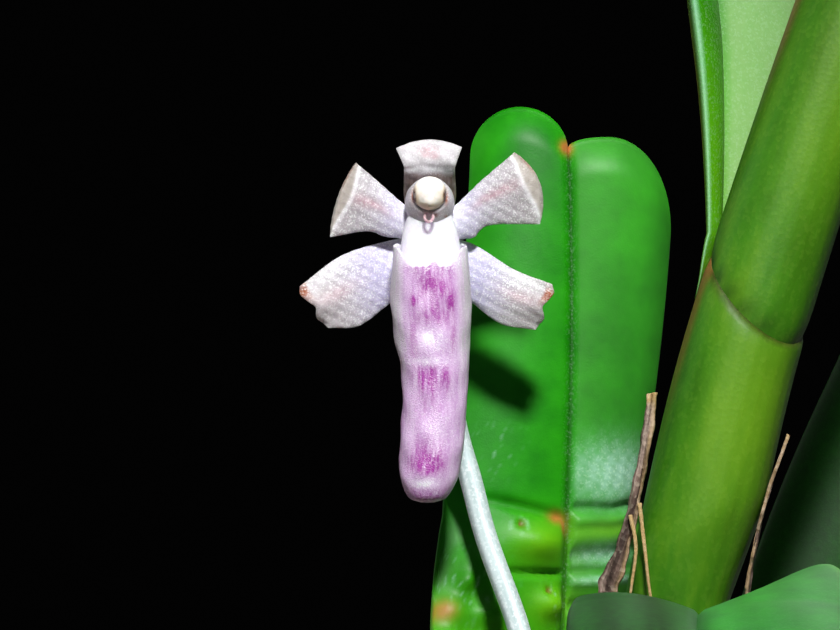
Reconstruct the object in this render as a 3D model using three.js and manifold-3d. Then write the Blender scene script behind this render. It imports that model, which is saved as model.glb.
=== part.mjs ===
// A small epiphytic orchid in bloom, growing in bark in a plain clay pot.
// Millimetres, +Z up, origin at the middle of the pot's underside. The flower faces -Y.
import * as THREE from "three";
import Module from "manifold-3d";
import { mergeVertices } from "three/addons/utils/BufferGeometryUtils.js";

const wasm = await Module();
wasm.setup();

const { PI, cos, sin, sqrt, abs, min, max } = Math;
const rad = (degrees) => (degrees * PI) / 180;
const point = (x, y, z) => new THREE.Vector3(x, y, z);

// Driving dimensions of the pot and its filling
const POT_HEIGHT = 84;
const POT_BASE_RADIUS = 31;
const POT_RIM_RADIUS = 46;
const POT_WALL = 4.5;
const POT_FLOOR = 6;
const RIM_BAND_HEIGHT = 16;
const RIM_BAND_PROUD = 2.5;
const DRAIN_RADIUS = 4.5;
const DRAIN_CIRCLE_RADIUS = 17;
const DRAIN_COUNT = 3;
const BARK_TOP = 72;
const BARK_CROWN = 1.5;
const CLEARANCE = 0.3;

// Driving dimensions of the plant
const SHEATH_BASE_RADIUS = 2.2;
const SHEATH_FLARE = 0.85;
const SHEATH_FLARE_HEIGHT = 8.2;
const SHEATH_WALL = 0.3;
const SHEATH_SLANT = 2.4;
const STEM_RADIUS = 1.75;
const STEM_FOOT = 64;
const STEM_TOP = 187;
const LEFT_SIDE = 145;
const RIGHT_SIDE = -35;
const LEAF_WIDTH = 10.5;
const LEAF_THICKNESS = 1.3;
const ROOT_RADIUS = 1.1;
const FLOWER = point(0.5, 0, 143.75);
const TEPAL_THICKNESS = 0.26;

// Materials
const finish = (color, roughness) => new THREE.MeshStandardMaterial({ color, roughness, metalness: 0 });
const CLAY = finish(0xb5623c, 0.85);
const BARK = finish(0x6d4327, 0.95);
const LEAF = finish(0x2f8a1e, 0.35);
const GREEN_SHEATH = finish(0x4f8a1c, 0.45);
const DRY_SHEATH = finish(0x8a6a52, 0.9);
const ROOT = finish(0xb9bcae, 0.8);
const TEPAL = finish(0xe6dfe8, 0.5);
const SPUR = finish(0xcfa3d6, 0.45);
const PEDICEL = finish(0xe4ecec, 0.5);
const CAP = finish(0xf3e8cf, 0.45);

const plant = new THREE.Group();

function add(name, geometry, material) {
  const mesh = new THREE.Mesh(geometry, material);
  mesh.name = name;
  plant.add(mesh);
}

// Closed meshes

// A mesh of these points and triangles, turned so that its faces point outwards.
function closedMesh(points, triangles) {
  let volume = 0;
  for (let i = 0; i < triangles.length; i += 3) {
    const [a, b, c] = [0, 1, 2].map((k) => points[triangles[i + k]]);
    volume += a.dot(b.clone().cross(c)) / 6;
  }
  if (volume < 0) triangles.reverse();
  const geometry = new THREE.BufferGeometry().setFromPoints(points);
  geometry.setIndex(triangles);
  return geometry;
}

// A skin over rings of equal length, with a fan of triangles closing each end.
function loft(rings) {
  const count = rings[0].length;
  const points = rings.flat();
  const triangles = [];
  for (let r = 0; r + 1 < rings.length; r++)
    for (let i = 0; i < count; i++) {
      const [a, b] = [r * count + i, r * count + ((i + 1) % count)];
      triangles.push(a, b, b + count, a, b + count, a + count);
    }
  for (const [ring, start] of [[rings[0], 0], [rings.at(-1), points.length - count]]) {
    const middle = points.length;
    points.push(ring.reduce((sum, p) => sum.add(p), point(0, 0, 0)).divideScalar(count));
    for (let i = 0; i < count; i++) {
      const [a, b] = [start + i, start + ((i + 1) % count)];
      if (start === 0) triangles.push(middle, b, a);
      else triangles.push(middle, a, b);
    }
  }
  return closedMesh(points, triangles);
}

// A tube wall between outer and inner rings, open at both ends.
function sleeve(outer, inner) {
  const rings = [...outer, ...inner.toReversed()];
  const count = rings[0].length;
  const triangles = [];
  for (let r = 0; r < rings.length; r++)
    for (let i = 0; i < count; i++) {
      const [here, next] = [r * count, ((r + 1) % rings.length) * count];
      const j = (i + 1) % count;
      triangles.push(here + i, here + j, next + j, here + i, next + j, next + i);
    }
  return closedMesh(rings.flat(), triangles);
}

// A thick sheet: surface(u, v) gives its middle, u across and v along, each from 0 to 1.
function slab(surface, columns, rows, thickness) {
  const step = 1e-3;
  const front = [];
  const back = [];
  for (let r = 0; r <= rows; r++)
    for (let c = 0; c <= columns; c++) {
      const [u, v] = [c / columns, r / rows];
      const across = surface(min(u + step, 1), v).sub(surface(max(u - step, 0), v));
      const along = surface(u, min(v + step, 1)).sub(surface(u, max(v - step, 0)));
      const offset = across.cross(along).setLength(thickness(u, v) / 2);
      front.push(surface(u, v).add(offset));
      back.push(surface(u, v).sub(offset));
    }
  const width = columns + 1;
  const behind = front.length;
  const triangles = [];
  const quad = (a, b, c, d) => triangles.push(a, b, c, a, c, d);
  for (let r = 0; r < rows; r++)
    for (let c = 0; c < columns; c++) {
      const a = r * width + c;
      quad(a, a + 1, a + width + 1, a + width);
      quad(behind + a, behind + a + width, behind + a + width + 1, behind + a + 1);
    }
  const wall = (a, b) => quad(a, behind + a, behind + b, b);
  for (let c = 0; c < columns; c++) {
    wall(c, c + 1);
    wall(rows * width + c + 1, rows * width + c);
  }
  for (let r = 0; r < rows; r++) {
    wall((r + 1) * width, r * width);
    wall(r * width + columns, (r + 1) * width + columns);
  }
  return closedMesh([...front, ...back], triangles);
}

// Booleans
function solidOf(geometry) {
  const bare = geometry.clone();
  bare.deleteAttribute("normal");
  bare.deleteAttribute("uv");
  const merged = mergeVertices(bare, 1e-3);
  const vertProperties = new Float32Array(merged.attributes.position.array);
  const triVerts = new Uint32Array(merged.index.array);
  return new wasm.Manifold(new wasm.Mesh({ numProp: 3, vertProperties, triVerts }));
}

function geometryOf(solid) {
  const mesh = solid.getMesh();
  const geometry = new THREE.BufferGeometry();
  geometry.setAttribute("position", new THREE.BufferAttribute(new Float32Array(mesh.vertProperties), 3));
  geometry.setIndex(new THREE.BufferAttribute(new Uint32Array(mesh.triVerts), 1));
  return geometry;
}

// A round tube along a curve; radius(t) is its radius at t, from 0 at the start to 1 at the end.
function tube(curve, radius, sides, steps) {
  const frames = curve.computeFrenetFrames(steps);
  const rings = [];
  for (let s = 0; s <= steps; s++) {
    const centre = curve.getPointAt(s / steps);
    const ring = [];
    for (let i = 0; i < sides; i++) {
      const angle = (2 * PI * i) / sides;
      const spoke = frames.normals[s].clone().multiplyScalar(cos(angle));
      spoke.addScaledVector(frames.binormals[s], sin(angle));
      ring.push(centre.clone().addScaledVector(spoke, radius(s / steps)));
    }
    rings.push(ring);
  }
  return loft(rings);
}

function through(...points) {
  return new THREE.CatmullRomCurve3(points.map((p) => point(...p)), false, "centripetal");
}

// Clay pot: a tapered cup with a plain band at the rim and three drain holes.
const rimBandFoot = POT_HEIGHT - RIM_BAND_HEIGHT;
const outerRadiusAt = (z) => POT_BASE_RADIUS + ((POT_RIM_RADIUS - POT_BASE_RADIUS) * z) / POT_HEIGHT;
const innerRadiusAt = (z) => outerRadiusAt(z) - POT_WALL;
const CHAMFER = 1;
const POT_SEGMENTS = 48;

function pot() {
  const bandRadius = (z) => outerRadiusAt(z) + RIM_BAND_PROUD;
  const profile = [
    [0, 0],
    [POT_BASE_RADIUS - CHAMFER, 0],
    [POT_BASE_RADIUS, CHAMFER],
    [outerRadiusAt(rimBandFoot), rimBandFoot],
    [bandRadius(rimBandFoot), rimBandFoot + CHAMFER],
    [bandRadius(POT_HEIGHT), POT_HEIGHT - CHAMFER],
    [bandRadius(POT_HEIGHT) - CHAMFER, POT_HEIGHT],
    [innerRadiusAt(POT_HEIGHT) + CHAMFER, POT_HEIGHT],
    [innerRadiusAt(POT_HEIGHT), POT_HEIGHT - CHAMFER],
    [innerRadiusAt(POT_FLOOR), POT_FLOOR],
    [0, POT_FLOOR],
  ];
  const lathe = new THREE.LatheGeometry(profile.map(([r, z]) => new THREE.Vector2(r, z)), POT_SEGMENTS);
  let solid = solidOf(lathe.rotateX(PI / 2));
  for (let i = 0; i < DRAIN_COUNT; i++) {
    const angle = (2 * PI * (i + 0.5)) / DRAIN_COUNT;
    const drill = new THREE.CylinderGeometry(DRAIN_RADIUS, DRAIN_RADIUS, 3 * POT_FLOOR, 20).rotateX(PI / 2);
    drill.translate(DRAIN_CIRCLE_RADIUS * cos(angle), DRAIN_CIRCLE_RADIUS * sin(angle), 0);
    solid = solid.subtract(solidOf(drill));
  }
  return geometryOf(solid);
}
add("pot", pot(), CLAY);

// The stem leans to the right and a little back, more so towards its tip, with a slight elbow on the way.
const STEM_ELBOW = 137;
const stemAxis = (z) => {
  const rise = z - 66;
  const beyondElbow = 0.17 * Math.log(1 + Math.exp((z - STEM_ELBOW) / 2));
  return point(5.85 + 0.05 * rise + 0.00125 * rise ** 2 + beyondElbow, -1 + 0.00055 * rise ** 2, z);
};
const onStem = (z, side, out) => {
  const p = stemAxis(z);
  return point(p.x + out * cos(rad(side)), p.y + out * sin(rad(side)), z);
};

function ringAt(level, radius, sides) {
  const ring = [];
  for (let i = 0; i < sides; i++) {
    const angle = (2 * PI * i) / sides;
    const z = level(angle);
    const centre = stemAxis(z);
    const reach = radius(z, angle);
    ring.push(point(centre.x + reach * cos(angle), centre.y + reach * sin(angle), z));
  }
  return ring;
}

const STEM_SIDES = 10;
const STEM_STEPS = 16;
function stemBetween(from, to, radius) {
  const rings = [];
  for (let s = 0; s <= STEM_STEPS; s++)
    rings.push(ringAt(() => from + ((to - from) * s) / STEM_STEPS, () => radius, STEM_SIDES));
  return loft(rings);
}
const SHEATH_SIDES = 12;

// Each sheath is a leaf's tubular foot: it flares upwards, and its mouth is highest where its blade was.
// It widens soonest on that side, so that it leaves the sheath below pressed against that one's mouth.
const SHEATHS = [
  { name: "sheath_1", from: 66, to: 82, side: LEFT_SIDE, material: DRY_SHEATH },
  { name: "sheath_2", from: 75.5, to: 92, side: RIGHT_SIDE, material: DRY_SHEATH },
  { name: "sheath_3", from: 85.5, to: 101, side: LEFT_SIDE, material: GREEN_SHEATH },
  { name: "sheath_4", from: 94.5, to: 110, side: RIGHT_SIDE, material: GREEN_SHEATH },
  { name: "sheath_5", from: 103.5, to: 119, side: LEFT_SIDE, material: GREEN_SHEATH },
  { name: "dry_sheath_collar", from: 112.5, to: 122, side: RIGHT_SIDE, material: DRY_SHEATH },
  { name: "sheath_7", from: 121, to: 141, side: LEFT_SIDE, material: GREEN_SHEATH },
  { name: "sheath_8", from: 134.5, to: 160, side: RIGHT_SIDE, material: GREEN_SHEATH },
  { name: "sheath_9", from: 153.5, to: 174, side: LEFT_SIDE, material: GREEN_SHEATH },
  { name: "sheath_10", from: 168, to: 187, side: RIGHT_SIDE, material: GREEN_SHEATH },
];

function sheath({ from, to, side }) {
  const rows = 3;
  const tilt = (angle) => SHEATH_SLANT * cos(angle - rad(side));
  const above = (z, angle) => max(0, z - from + tilt(angle) - SHEATH_SLANT);
  const widening = (z, angle) => min(1, above(z, angle) / SHEATH_FLARE_HEIGHT);
  const radius = (inset) => (z, angle) => SHEATH_BASE_RADIUS + SHEATH_FLARE * widening(z, angle) - inset;
  const level = (t) => (angle) => from + (to - from) * t + tilt(angle) * t ** 3;
  const rings = (inset) =>
    Array.from({ length: rows + 1 }, (_, r) => ringAt(level(r / rows), radius(inset), SHEATH_SIDES));
  return sleeve(rings(0), rings(SHEATH_WALL));
}
for (const s of SHEATHS) add(s.name, sheath(s), s.material);
add("stem", stemBetween(STEM_FOOT, STEM_TOP, STEM_RADIUS), GREEN_SHEATH);

// A leaf blade: a channelled strap along a curve, ending in two unequal round lobes beside a notch.
// fold is the angle of each half above flat, in degrees, just above the foot and at the tip.
// At its foot the blade is thin and shallow, and it curves round the sheath above.
const FOOT_FOLD = 26;
const FOOT_SHARE = 0.12;
const FOOT_OUT = 3.6;
// halves widens or narrows the half on each side of the midrib.
const LOBES = { left: [0.5, 2.2, 2.6, 0], right: [0.4, 0.7, 5, 1.5] };
const BLADE_ROWS = 10;
function blade({ path, across, width = LEAF_WIDTH, fold = [50, 10], halves = [1, 1] }) {
  const curve = new THREE.CubicBezierCurve3(...path.map((p) => (p.isVector3 ? p : point(...p))));
  const length = curve.getLength();
  const [startAcross, endAcross] = across.map((a) => point(...a).normalize());
  // How far short of the leaf's end the outline falls at u, from -1 at one margin to 1 at the other.
  const shortfall = (u) => {
    const [peak, notch, shoulder, behind] = u < 0 ? LOBES.left : LOBES.right;
    const a = abs(u);
    const share = a < peak ? (peak - a) / peak : (a - peak) / (1 - peak);
    return behind + (a < peak ? notch : shoulder) * (1 - sqrt(max(0, 1 - share ** 2)));
  };
  const halfWidth = (s) => (width / 2) * (0.42 + 0.58 * sin((min(s / 0.4, 1) * PI) / 2));
  const surface = (u01, v) => {
    const u = 2 * u01 - 1;
    const s = (v * (length - shortfall(u))) / length;
    const tangent = curve.getTangentAt(s);
    const side = startAcross.clone().lerp(endAcross, s);
    side.addScaledVector(tangent, -side.dot(tangent)).normalize();
    const normal = side.clone().cross(tangent);
    const lift = min(1, s / FOOT_SHARE);
    const open = min(1, max(0, s - FOOT_SHARE) / 0.45);
    const angle = rad(FOOT_FOLD + (fold[0] - FOOT_FOLD) * lift + (fold[1] - fold[0]) * open);
    const reach = abs(u) * halfWidth(s) * halves[u < 0 ? 0 : 1];
    return curve
      .getPointAt(s)
      .addScaledVector(side, Math.sign(u) * reach * cos(angle))
      .addScaledVector(normal, reach * sin(angle));
  };
  const thickness = (u01, v) =>
    LEAF_THICKNESS * (1 - 0.45 * abs(2 * u01 - 1) ** 3) * (0.4 + 0.6 * min(1, v / 0.15));
  return slab(surface, 6, BLADE_ROWS, thickness);
}

// The blade's halves rise towards side x tangent: towards the stem at its foot.
const BLADES = {
  leaf_low_left: {
    path: [onStem(84.8, LEFT_SIDE, FOOT_OUT), [-8, 12, 106], [-32, 22, 112], [-56, 31, 88]],
    across: [[0.57, 0.82, 0], [0.5, 0.86, 0]],
  },
  leaf_low_right: {
    path: [onStem(94.8, RIGHT_SIDE, FOOT_OUT), [22, -11, 114], [46, -25, 118], [66, -36, 92]],
    across: [[-0.57, -0.82, 0], [-0.5, -0.86, 0]],
  },
  leaf_behind_flower: {
    path: [onStem(103.8, LEFT_SIDE, FOOT_OUT), [1.5, 7.5, 110], [7.2, 4.2, 124], [7.6, 8.6, 150.75]],
    across: [[0.57, 0.82, 0], [1, 0.0, 0]],
    fold: [40, -6],
    halves: [0.96, 1.08],
  },
  leaf_front: {
    path: [onStem(112.8, RIGHT_SIDE, FOOT_OUT), [15.5, -9, 122], [10.3, -31, 134.7], [11.9, -55, 118.6]],
    across: [[-0.57, -0.82, 0], [-1, 0.4, 0.03]],
    width: 12.5,
    fold: [50, 8],
    halves: [1.12, 0.9],
  },
  leaf_upper_left: {
    path: [onStem(143.8, LEFT_SIDE, FOOT_OUT), [15.4, 6.4, 156], [14.5, 12, 178], [-4, 22, 206]],
    across: [[0.57, 0.82, 0], [0.5, 0.86, 0]],
    fold: [24, 12],
    halves: [1, 1.45],
  },
  leaf_upper_right: {
    path: [onStem(162.8, RIGHT_SIDE, FOOT_OUT), [33, -4, 176], [54, -14, 186], [80, -26, 178]],
    across: [[-0.57, -0.82, 0], [-0.4, -0.9, 0]],
  },
  leaf_top_left: {
    path: [onStem(176.8, LEFT_SIDE, FOOT_OUT), [22, 12, 194], [10, 20, 214], [-8, 30, 222]],
    across: [[0.57, 0.82, 0], [0.5, 0.86, 0]],
  },
  leaf_top_right: {
    path: [onStem(189.8, RIGHT_SIDE, FOOT_OUT), [43, 2, 204], [56, -6, 222], [76, -16, 226]],
    across: [[-0.57, -0.82, 0], [-0.5, -0.86, 0]],
    width: 9.5,
  },
  leaf_youngest: {
    path: [[33.9, 7.1, 187.6], [35.2, 8.5, 200], [37, 11, 216], [41, 15, 236]],
    across: [[0.57, 0.82, 0], [0.5, 0.86, 0]],
    width: 7.5,
    fold: [62, 40],
  },
};
for (const [name, shape] of Object.entries(BLADES)) add(name, blade(shape), LEAF);

// A short side shoot behind the stem, with three leaves
const SIDE_SHOOT = through([14, 13, 64], [15, 14.5, 80], [17.5, 17, 96]);
const SIDE_SHOOT_RADIUS = 2.3;
add("side_shoot", tube(SIDE_SHOOT, () => SIDE_SHOOT_RADIUS, 10, 8), GREEN_SHEATH);
const SIDE_BLADES = {
  side_leaf_tall: {
    path: [[17.6, 17.1, 96.5], [19, 22, 114], [22.2, 30, 130.7], [43, 28, 161]],
    across: [[0.85, -0.5, 0], [0.93, -0.1, -0.11]],
    fold: [50, 2],
  },
  side_leaf_right: {
    path: [[19.9, 15.9, 90], [34, 15, 108], [54, 20, 112], [74, 27, 92]],
    across: [[0.1, -1, 0], [0.2, -0.97, 0]],
  },
  side_leaf_back: {
    path: [[16.4, 19.6, 91], [18, 30, 108], [26, 46, 118], [40, 62, 104]],
    across: [[1, 0.2, 0], [0.85, -0.5, 0]],
    width: 9.5,
  },
};
for (const [name, shape] of Object.entries(SIDE_BLADES)) add(name, blade(shape), LEAF);

// A sheet between two margins, each a list of points from its base to its tip.
function between(marginA, marginB, tipBulge = 0) {
  const [a, b] = [through(...marginA), through(...marginB)];
  return (u, v) => {
    const [p, q] = [a.getPoint(v), b.getPoint(v)];
    const outwards = a.getTangent(1).add(b.getTangent(1)).normalize();
    const middle = 4 * u * (1 - u);
    return p.lerp(q, u).addScaledVector(outwards, tipBulge * middle * v ** 3);
  };
}

// What is left of a dry sheath: a papery strip each side of the stem, and two loose fibres.
const DRY_LEFT = {
  far: [[8.3, 1.5, 120], [8.85, 0.3, 126], [10.35, 0.1, 131], [11.2, 0.4, 136]],
  near: [[8.7, -1.0, 119.8], [10.0, -0.5, 126], [11.3, -0.3, 131], [12.1, 0.1, 136.2]],
};
const DRY_RIGHT = {
  far: [[16.2, 0.6, 122.8], [16.6, 0.7, 127], [17.5, 0.9, 131], [18.5, 1.3, 134]],
  near: [[16.0, -0.6, 122.8], [16.4, -0.5, 127], [17.3, -0.3, 131], [18.5, 0.7, 134]],
};
add(
  "dry_strip_left",
  slab(between(DRY_LEFT.far, DRY_LEFT.near), 2, 6, () => 0.2),
  DRY_SHEATH,
);
add(
  "dry_strip_right",
  slab(between(DRY_RIGHT.far, DRY_RIGHT.near), 2, 6, () => 0.2),
  DRY_SHEATH,
);
const FIBRES = {
  dry_fibre_left: [[10.5, -0.4, 130], [10.75, -1.0, 128.4], [10.5, -1.3, 126.4], [10.2, -1.5, 124.2]],
  dry_fibre_right: [[10.95, -0.55, 130.6], [11.2, -1.3, 128.2], [11.45, -1.8, 126], [12.0, -2.1, 123.2]],
};
for (const [name, route] of Object.entries(FIBRES))
  add(name, tube(through(...route), () => 0.14, 5, 5), DRY_SHEATH);

// Flower. Outlines are in millimetres from its middle: x to the right, y away from the viewer, z up.
const fromFlower = (p) => p.clone().add(FLOWER).toArray();
const atFlower = (points) => points.map(([x, y, z]) => fromFlower(point(x, y, z)));
const TEPALS = {
  petal_left: {
    upper: [[-1.5, 0.75, 1.95], [-2.5, 0.7, 2.85], [-3.75, 0.4, 3.9]],
    lower: [[-1.55, 0.75, 0.25], [-2.3, 0.7, 0.2], [-3.2, 0.6, 0.45], [-5.0, 0.3, 0.15]],
    bulge: 0.35,
  },
  petal_right: {
    upper: [[1.5, 0.75, 1.95], [2.6, 0.6, 3.0], [4.25, 0.2, 4.4]],
    lower: [[1.55, 0.75, 0.2], [2.2, 0.7, 0.15], [3.0, 0.6, 0.75], [5.5, 0.2, 0.8]],
    bulge: 0.75,
  },
  lateral_sepal_left: {
    upper: [[-0.9, 2.0, 0.1], [-2.2, 1.55, -0.05], [-4.5, 1.1, -0.8], [-6.5, 0.6, -2.3]],
    lower: [[-0.9, 2.0, -2.2], [-2.2, 1.6, -3.3], [-3.6, 1.2, -4.3], [-5.1, 0.7, -4.4]],
    bulge: 0.15,
  },
  lateral_sepal_right: {
    upper: [[0.9, 2.0, 0.1], [2.2, 1.55, -0.2], [4.2, 1.1, -1.45], [6.1, 0.6, -2.2]],
    lower: [[0.9, 2.0, -2.2], [2.2, 1.6, -3.2], [3.6, 1.2, -4.2], [5.3, 0.7, -4.5]],
    bulge: 0.15,
  },
  dorsal_sepal: {
    upper: [[-1.05, 1.95, 0.9], [-1.3, 1.6, 2.2], [-1.3, 0.6, 3.45], [-1.35, 0.3, 3.8], [-1.7, 0.5, 4.6]],
    lower: [[1.05, 1.95, 0.9], [1.3, 1.6, 2.2], [1.25, 0.6, 3.45], [1.3, 0.3, 3.8], [1.6, 0.5, 4.65]],
    bulge: 0.3,
  },
};
for (const [name, t] of Object.entries(TEPALS)) {
  const surface = between(atFlower(t.upper), atFlower(t.lower), t.bulge);
  add(name, slab(surface, 6, 8, () => TEPAL_THICKNESS), TEPAL);
}

// Lip: one hollow piece, a mouth with two raised side lobes that runs down into a long blunt spur.
const SPUR_SIDES = 18;
const SPUR_STATIONS = [
  { z: -13.05, x: -0.12, y: -1.6, a: 0.35, b: 0.3 },
  { z: -12.8, x: -0.12, y: -1.55, a: 1.15, b: 0.95 },
  { z: -11.9, x: -0.1, y: -1.45, a: 1.62, b: 1.3 },
  { z: -10, x: 0.1, y: -1.25, a: 1.66, b: 1.35 },
  { z: -7.5, x: 0.2, y: -0.95, a: 1.66, b: 1.35 },
  { z: -5, x: 0.1, y: -0.7, a: 1.85, b: 1.45 },
  { z: -3, x: 0.05, y: -0.55, a: 2.02, b: 1.5 },
  { z: -1.4, x: 0, y: -0.45, a: 1.85, b: 1.45 },
];
const SPUR_WALL = 0.28;
const SIDE_LOBE_RISE = 1.5;

function lip() {
  const ring = (station, inset, rise) => {
    const points = [];
    for (let i = 0; i < SPUR_SIDES; i++) {
      const angle = (2 * PI * i) / SPUR_SIDES;
      const lobe = rise * abs(cos(angle)) ** 1.5 + 0.35 * rise * max(0, sin(angle));
      const [x, y] = [(station.a - inset) * cos(angle), (station.b - inset) * sin(angle)];
      points.push(point(station.x + x, station.y + y, station.z + lobe).add(FLOWER));
    }
    return points;
  };
  const top = SPUR_STATIONS.length - 1;
  const outer = SPUR_STATIONS.map((s, i) => ring(s, 0, i === top ? SIDE_LOBE_RISE : 0));
  const hollow = SPUR_STATIONS.slice(2).toReversed();
  const inner = hollow.map((s, i) => ring(s, SPUR_WALL, i === 0 ? SIDE_LOBE_RISE : 0));
  return loft([...outer, ...inner]);
}
add("lip_and_spur", lip(), SPUR);

// Column: a short hood with the anther cap seated in its front.
function ellipsoid(centre, radii, wide, high) {
  const ball = new THREE.SphereGeometry(1, wide, high);
  ball.scale(...radii).translate(...fromFlower(centre));
  return ball;
}
const CAP_CENTRE = point(0, -1.35, 2.3);
const CAP_RADII = [0.72, 0.62, 0.72];
const grown = (radii, by) => radii.map((r) => r + by);
const column = solidOf(ellipsoid(point(0, -0.2, 1.75), [1.12, 1.35, 1.3], 14, 9)).subtract(
  solidOf(ellipsoid(CAP_CENTRE, grown(CAP_RADII, 0.08), 12, 8)),
);
add("column", geometryOf(column), TEPAL);
add("anther_cap", ellipsoid(CAP_CENTRE, CAP_RADII, 12, 8), CAP);

// Raceme: a short axis from a leaf axil, with the flower's long pedicel, three buds and their bracts.
const RACHIS_ROUTE = [
  [8.9, -3.9, 107.6], [8.3, -5.2, 109.6], [7.5, -6, 112.5],
  [6.6, -5.0, 117.5], [4.2, -4.4, 120.6], [0.8, -4.6, 121.6],
];
const RACHIS = through(...RACHIS_ROUTE);
add("raceme_axis", tube(RACHIS, (t) => 0.75 - 0.3 * t, 8, 12), PEDICEL);
const PEDICEL_ROUTE = through(
  fromFlower(point(0, 2.45, 0.1)),
  fromFlower(point(0.2, 3.2, -2.2)),
  fromFlower(point(0.7, 3.3, -6)),
  fromFlower(point(1.4, 2.8, -9.7)),
  fromFlower(point(2.05, 2.2, -12)),
  fromFlower(point(2.85, 1.1, -15)),
  fromFlower(point(4.3, -0.8, -19)),
  fromFlower(point(5.2, -2.5, -22.2)),
  RACHIS.getPointAt(0.62).add(point(0.55, 0.55, 0.95)).toArray(),
);
const pedicelRadius = (t) => 0.64 - 0.1 * sin((min(1, t * 3) * PI) / 2);
add("flower_pedicel", tube(PEDICEL_ROUTE, pedicelRadius, 8, 16), PEDICEL);

const BUDS = [
  { t: 0.74, clear: 1.0, tip: [2.2, -8.6, 122.4], size: 1.25 },
  { t: 0.88, clear: 0.95, tip: [0.2, -1.2, 121.6], size: 1.1 },
  { t: 1, clear: 0.4, tip: [-3.0, -5.6, 121.9], size: 0.95 },
];
BUDS.forEach(({ t, clear, tip, size }, i) => {
  const foot = RACHIS.getPointAt(t);
  const head = point(...tip);
  const reach = head.clone().sub(foot).normalize();
  const start = foot.clone().addScaledVector(reach, clear);
  const end = head.clone().addScaledVector(reach, 2.4 * size);
  const curve = new THREE.LineCurve3(start, end);
  const swell = (s) => 0.32 + size * max(0, sin(PI * min(1, max(0, (s - 0.35) / 0.68)))) ** 0.8;
  add(`bud_${i + 1}`, tube(curve, swell, 8, 12), SPUR);
});

// Roots: thick and grey, from the foot of the stem into the bark, one of them over the rim.
const ROOTS = {
  root_over_rim: [
    [8.9, -4.2, 85], [17, -13, 88.5], [26, -24, 88], [32, -30, 85.6],
    [35.4, -34, 84.6], [37, -35.8, 80], [36.6, -36.2, 71],
  ],
  root_front: [[4.2, -4.6, 80], [-4, -13, 82], [-10, -20, 76], [-12, -24, 66]],
  root_left: [[1.2, 0.4, 79], [-8, 6, 80], [-16, 9, 74], [-20, 10, 64]],
  root_back: [[5.5, 3.6, 78], [4, 14, 79], [0, 22, 73], [-2, 27, 63]],
  root_aerial: [[5.6, -3.4, 96], [-2, -12, 96], [-12, -16, 88], [-20, -18, 76], [-23, -19, 66]],
};
const rootRadius = (extra) => (t) => ROOT_RADIUS * (1 - 0.25 * t) + extra;
const rootTube = (route, extra) => tube(through(...route), rootRadius(extra), 8, 14);
for (const [name, route] of Object.entries(ROOTS)) add(name, rootTube(route, 0), ROOT);

// Bark: a bed that fills the pot, with chunky pieces pressed into its top and loose chips lying on them.
// Golden-angle spacing spreads the chips evenly; the ones that would touch a stem or root are left out.
const GOLDEN_ANGLE = rad(137.5);
const chipAt = (i, radius, z, size) => {
  const angle = i * GOLDEN_ANGLE;
  const chip = new THREE.BoxGeometry(size, size * 0.62, size * 0.34);
  chip.rotateX(rad(14 * sin(i * 2.3))).rotateY(rad(16 * cos(i * 1.7))).rotateZ(i * 1.9);
  return chip.translate(radius * cos(angle), radius * sin(angle), z);
};

function barkParts() {
  const bedRadius = (z) => innerRadiusAt(z) - CLEARANCE;
  const bedFoot = POT_FLOOR + CLEARANCE;
  const profile = [
    [0, bedFoot],
    [bedRadius(bedFoot) - CLEARANCE, bedFoot],
    [bedRadius(BARK_TOP), BARK_TOP],
    [bedRadius(BARK_TOP) * 0.6, BARK_TOP + BARK_CROWN * 0.7],
    [0, BARK_TOP + BARK_CROWN],
  ];
  const lathe = new THREE.LatheGeometry(profile.map(([r, z]) => new THREE.Vector2(r, z)), 32);
  let bed = solidOf(lathe.rotateX(PI / 2));
  const embedded = 30;
  for (let i = 1; i <= embedded; i++) {
    const size = 7.5 + 3 * abs(sin(i * 3.1));
    bed = bed.add(solidOf(chipAt(i, 34.5 * sqrt(i / embedded), BARK_TOP + 1.0, size)));
  }
  const reach = [bedFoot, POT_HEIGHT].map((z) => new THREE.Vector2(bedRadius(z), z));
  const room = [new THREE.Vector2(0, bedFoot), ...reach, new THREE.Vector2(0, POT_HEIGHT)];
  const insidePot = solidOf(new THREE.LatheGeometry(room, POT_SEGMENTS).rotateX(PI / 2));
  bed = bed.intersect(insidePot);
  const socket = ([x, y, z], radius) => solidOf(new THREE.SphereGeometry(radius, 12, 8).translate(x, y, z));
  const plugs = [
    solidOf(tube(SIDE_SHOOT, () => SIDE_SHOOT_RADIUS + CLEARANCE, 10, 8)),
    socket(SIDE_SHOOT.getPoint(0).toArray(), SIDE_SHOOT_RADIUS + 2 * CLEARANCE),
    solidOf(stemBetween(STEM_FOOT - CLEARANCE, 100, SHEATH_BASE_RADIUS + 1.4)),
    ...Object.values(ROOTS).map((route) => solidOf(rootTube(route, CLEARANCE))),
    ...Object.values(ROOTS).map((route) => socket(route.at(-1), ROOT_RADIUS + CLEARANCE)),
  ];
  const taken = plugs.reduce((sum, plug) => sum.add(plug));
  const chips = [];
  const loose = 22;
  for (let i = 1; i <= loose && chips.length < 9; i++) {
    const place = [i + 3.4, 33 * sqrt((i - 0.5) / loose), BARK_TOP + 3.6, 9 + 2.5 * sin(i * 1.3)];
    const chip = solidOf(chipAt(...place));
    if (chip.intersect(taken).volume() > 0 || chip.subtract(insidePot).volume() > 0) continue;
    chips.push(chip);
    bed = bed.subtract(solidOf(chipAt(place[0], place[1], place[2], place[3] + 2 * CLEARANCE)));
  }
  return { bed: bed.subtract(taken).decompose()[0], chips };
}
const bark = barkParts();
add("bark_bed", geometryOf(bark.bed), BARK);
bark.chips.forEach((chip, i) => add(`bark_chip_${i + 1}`, geometryOf(chip), BARK));

export default plant;
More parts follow.
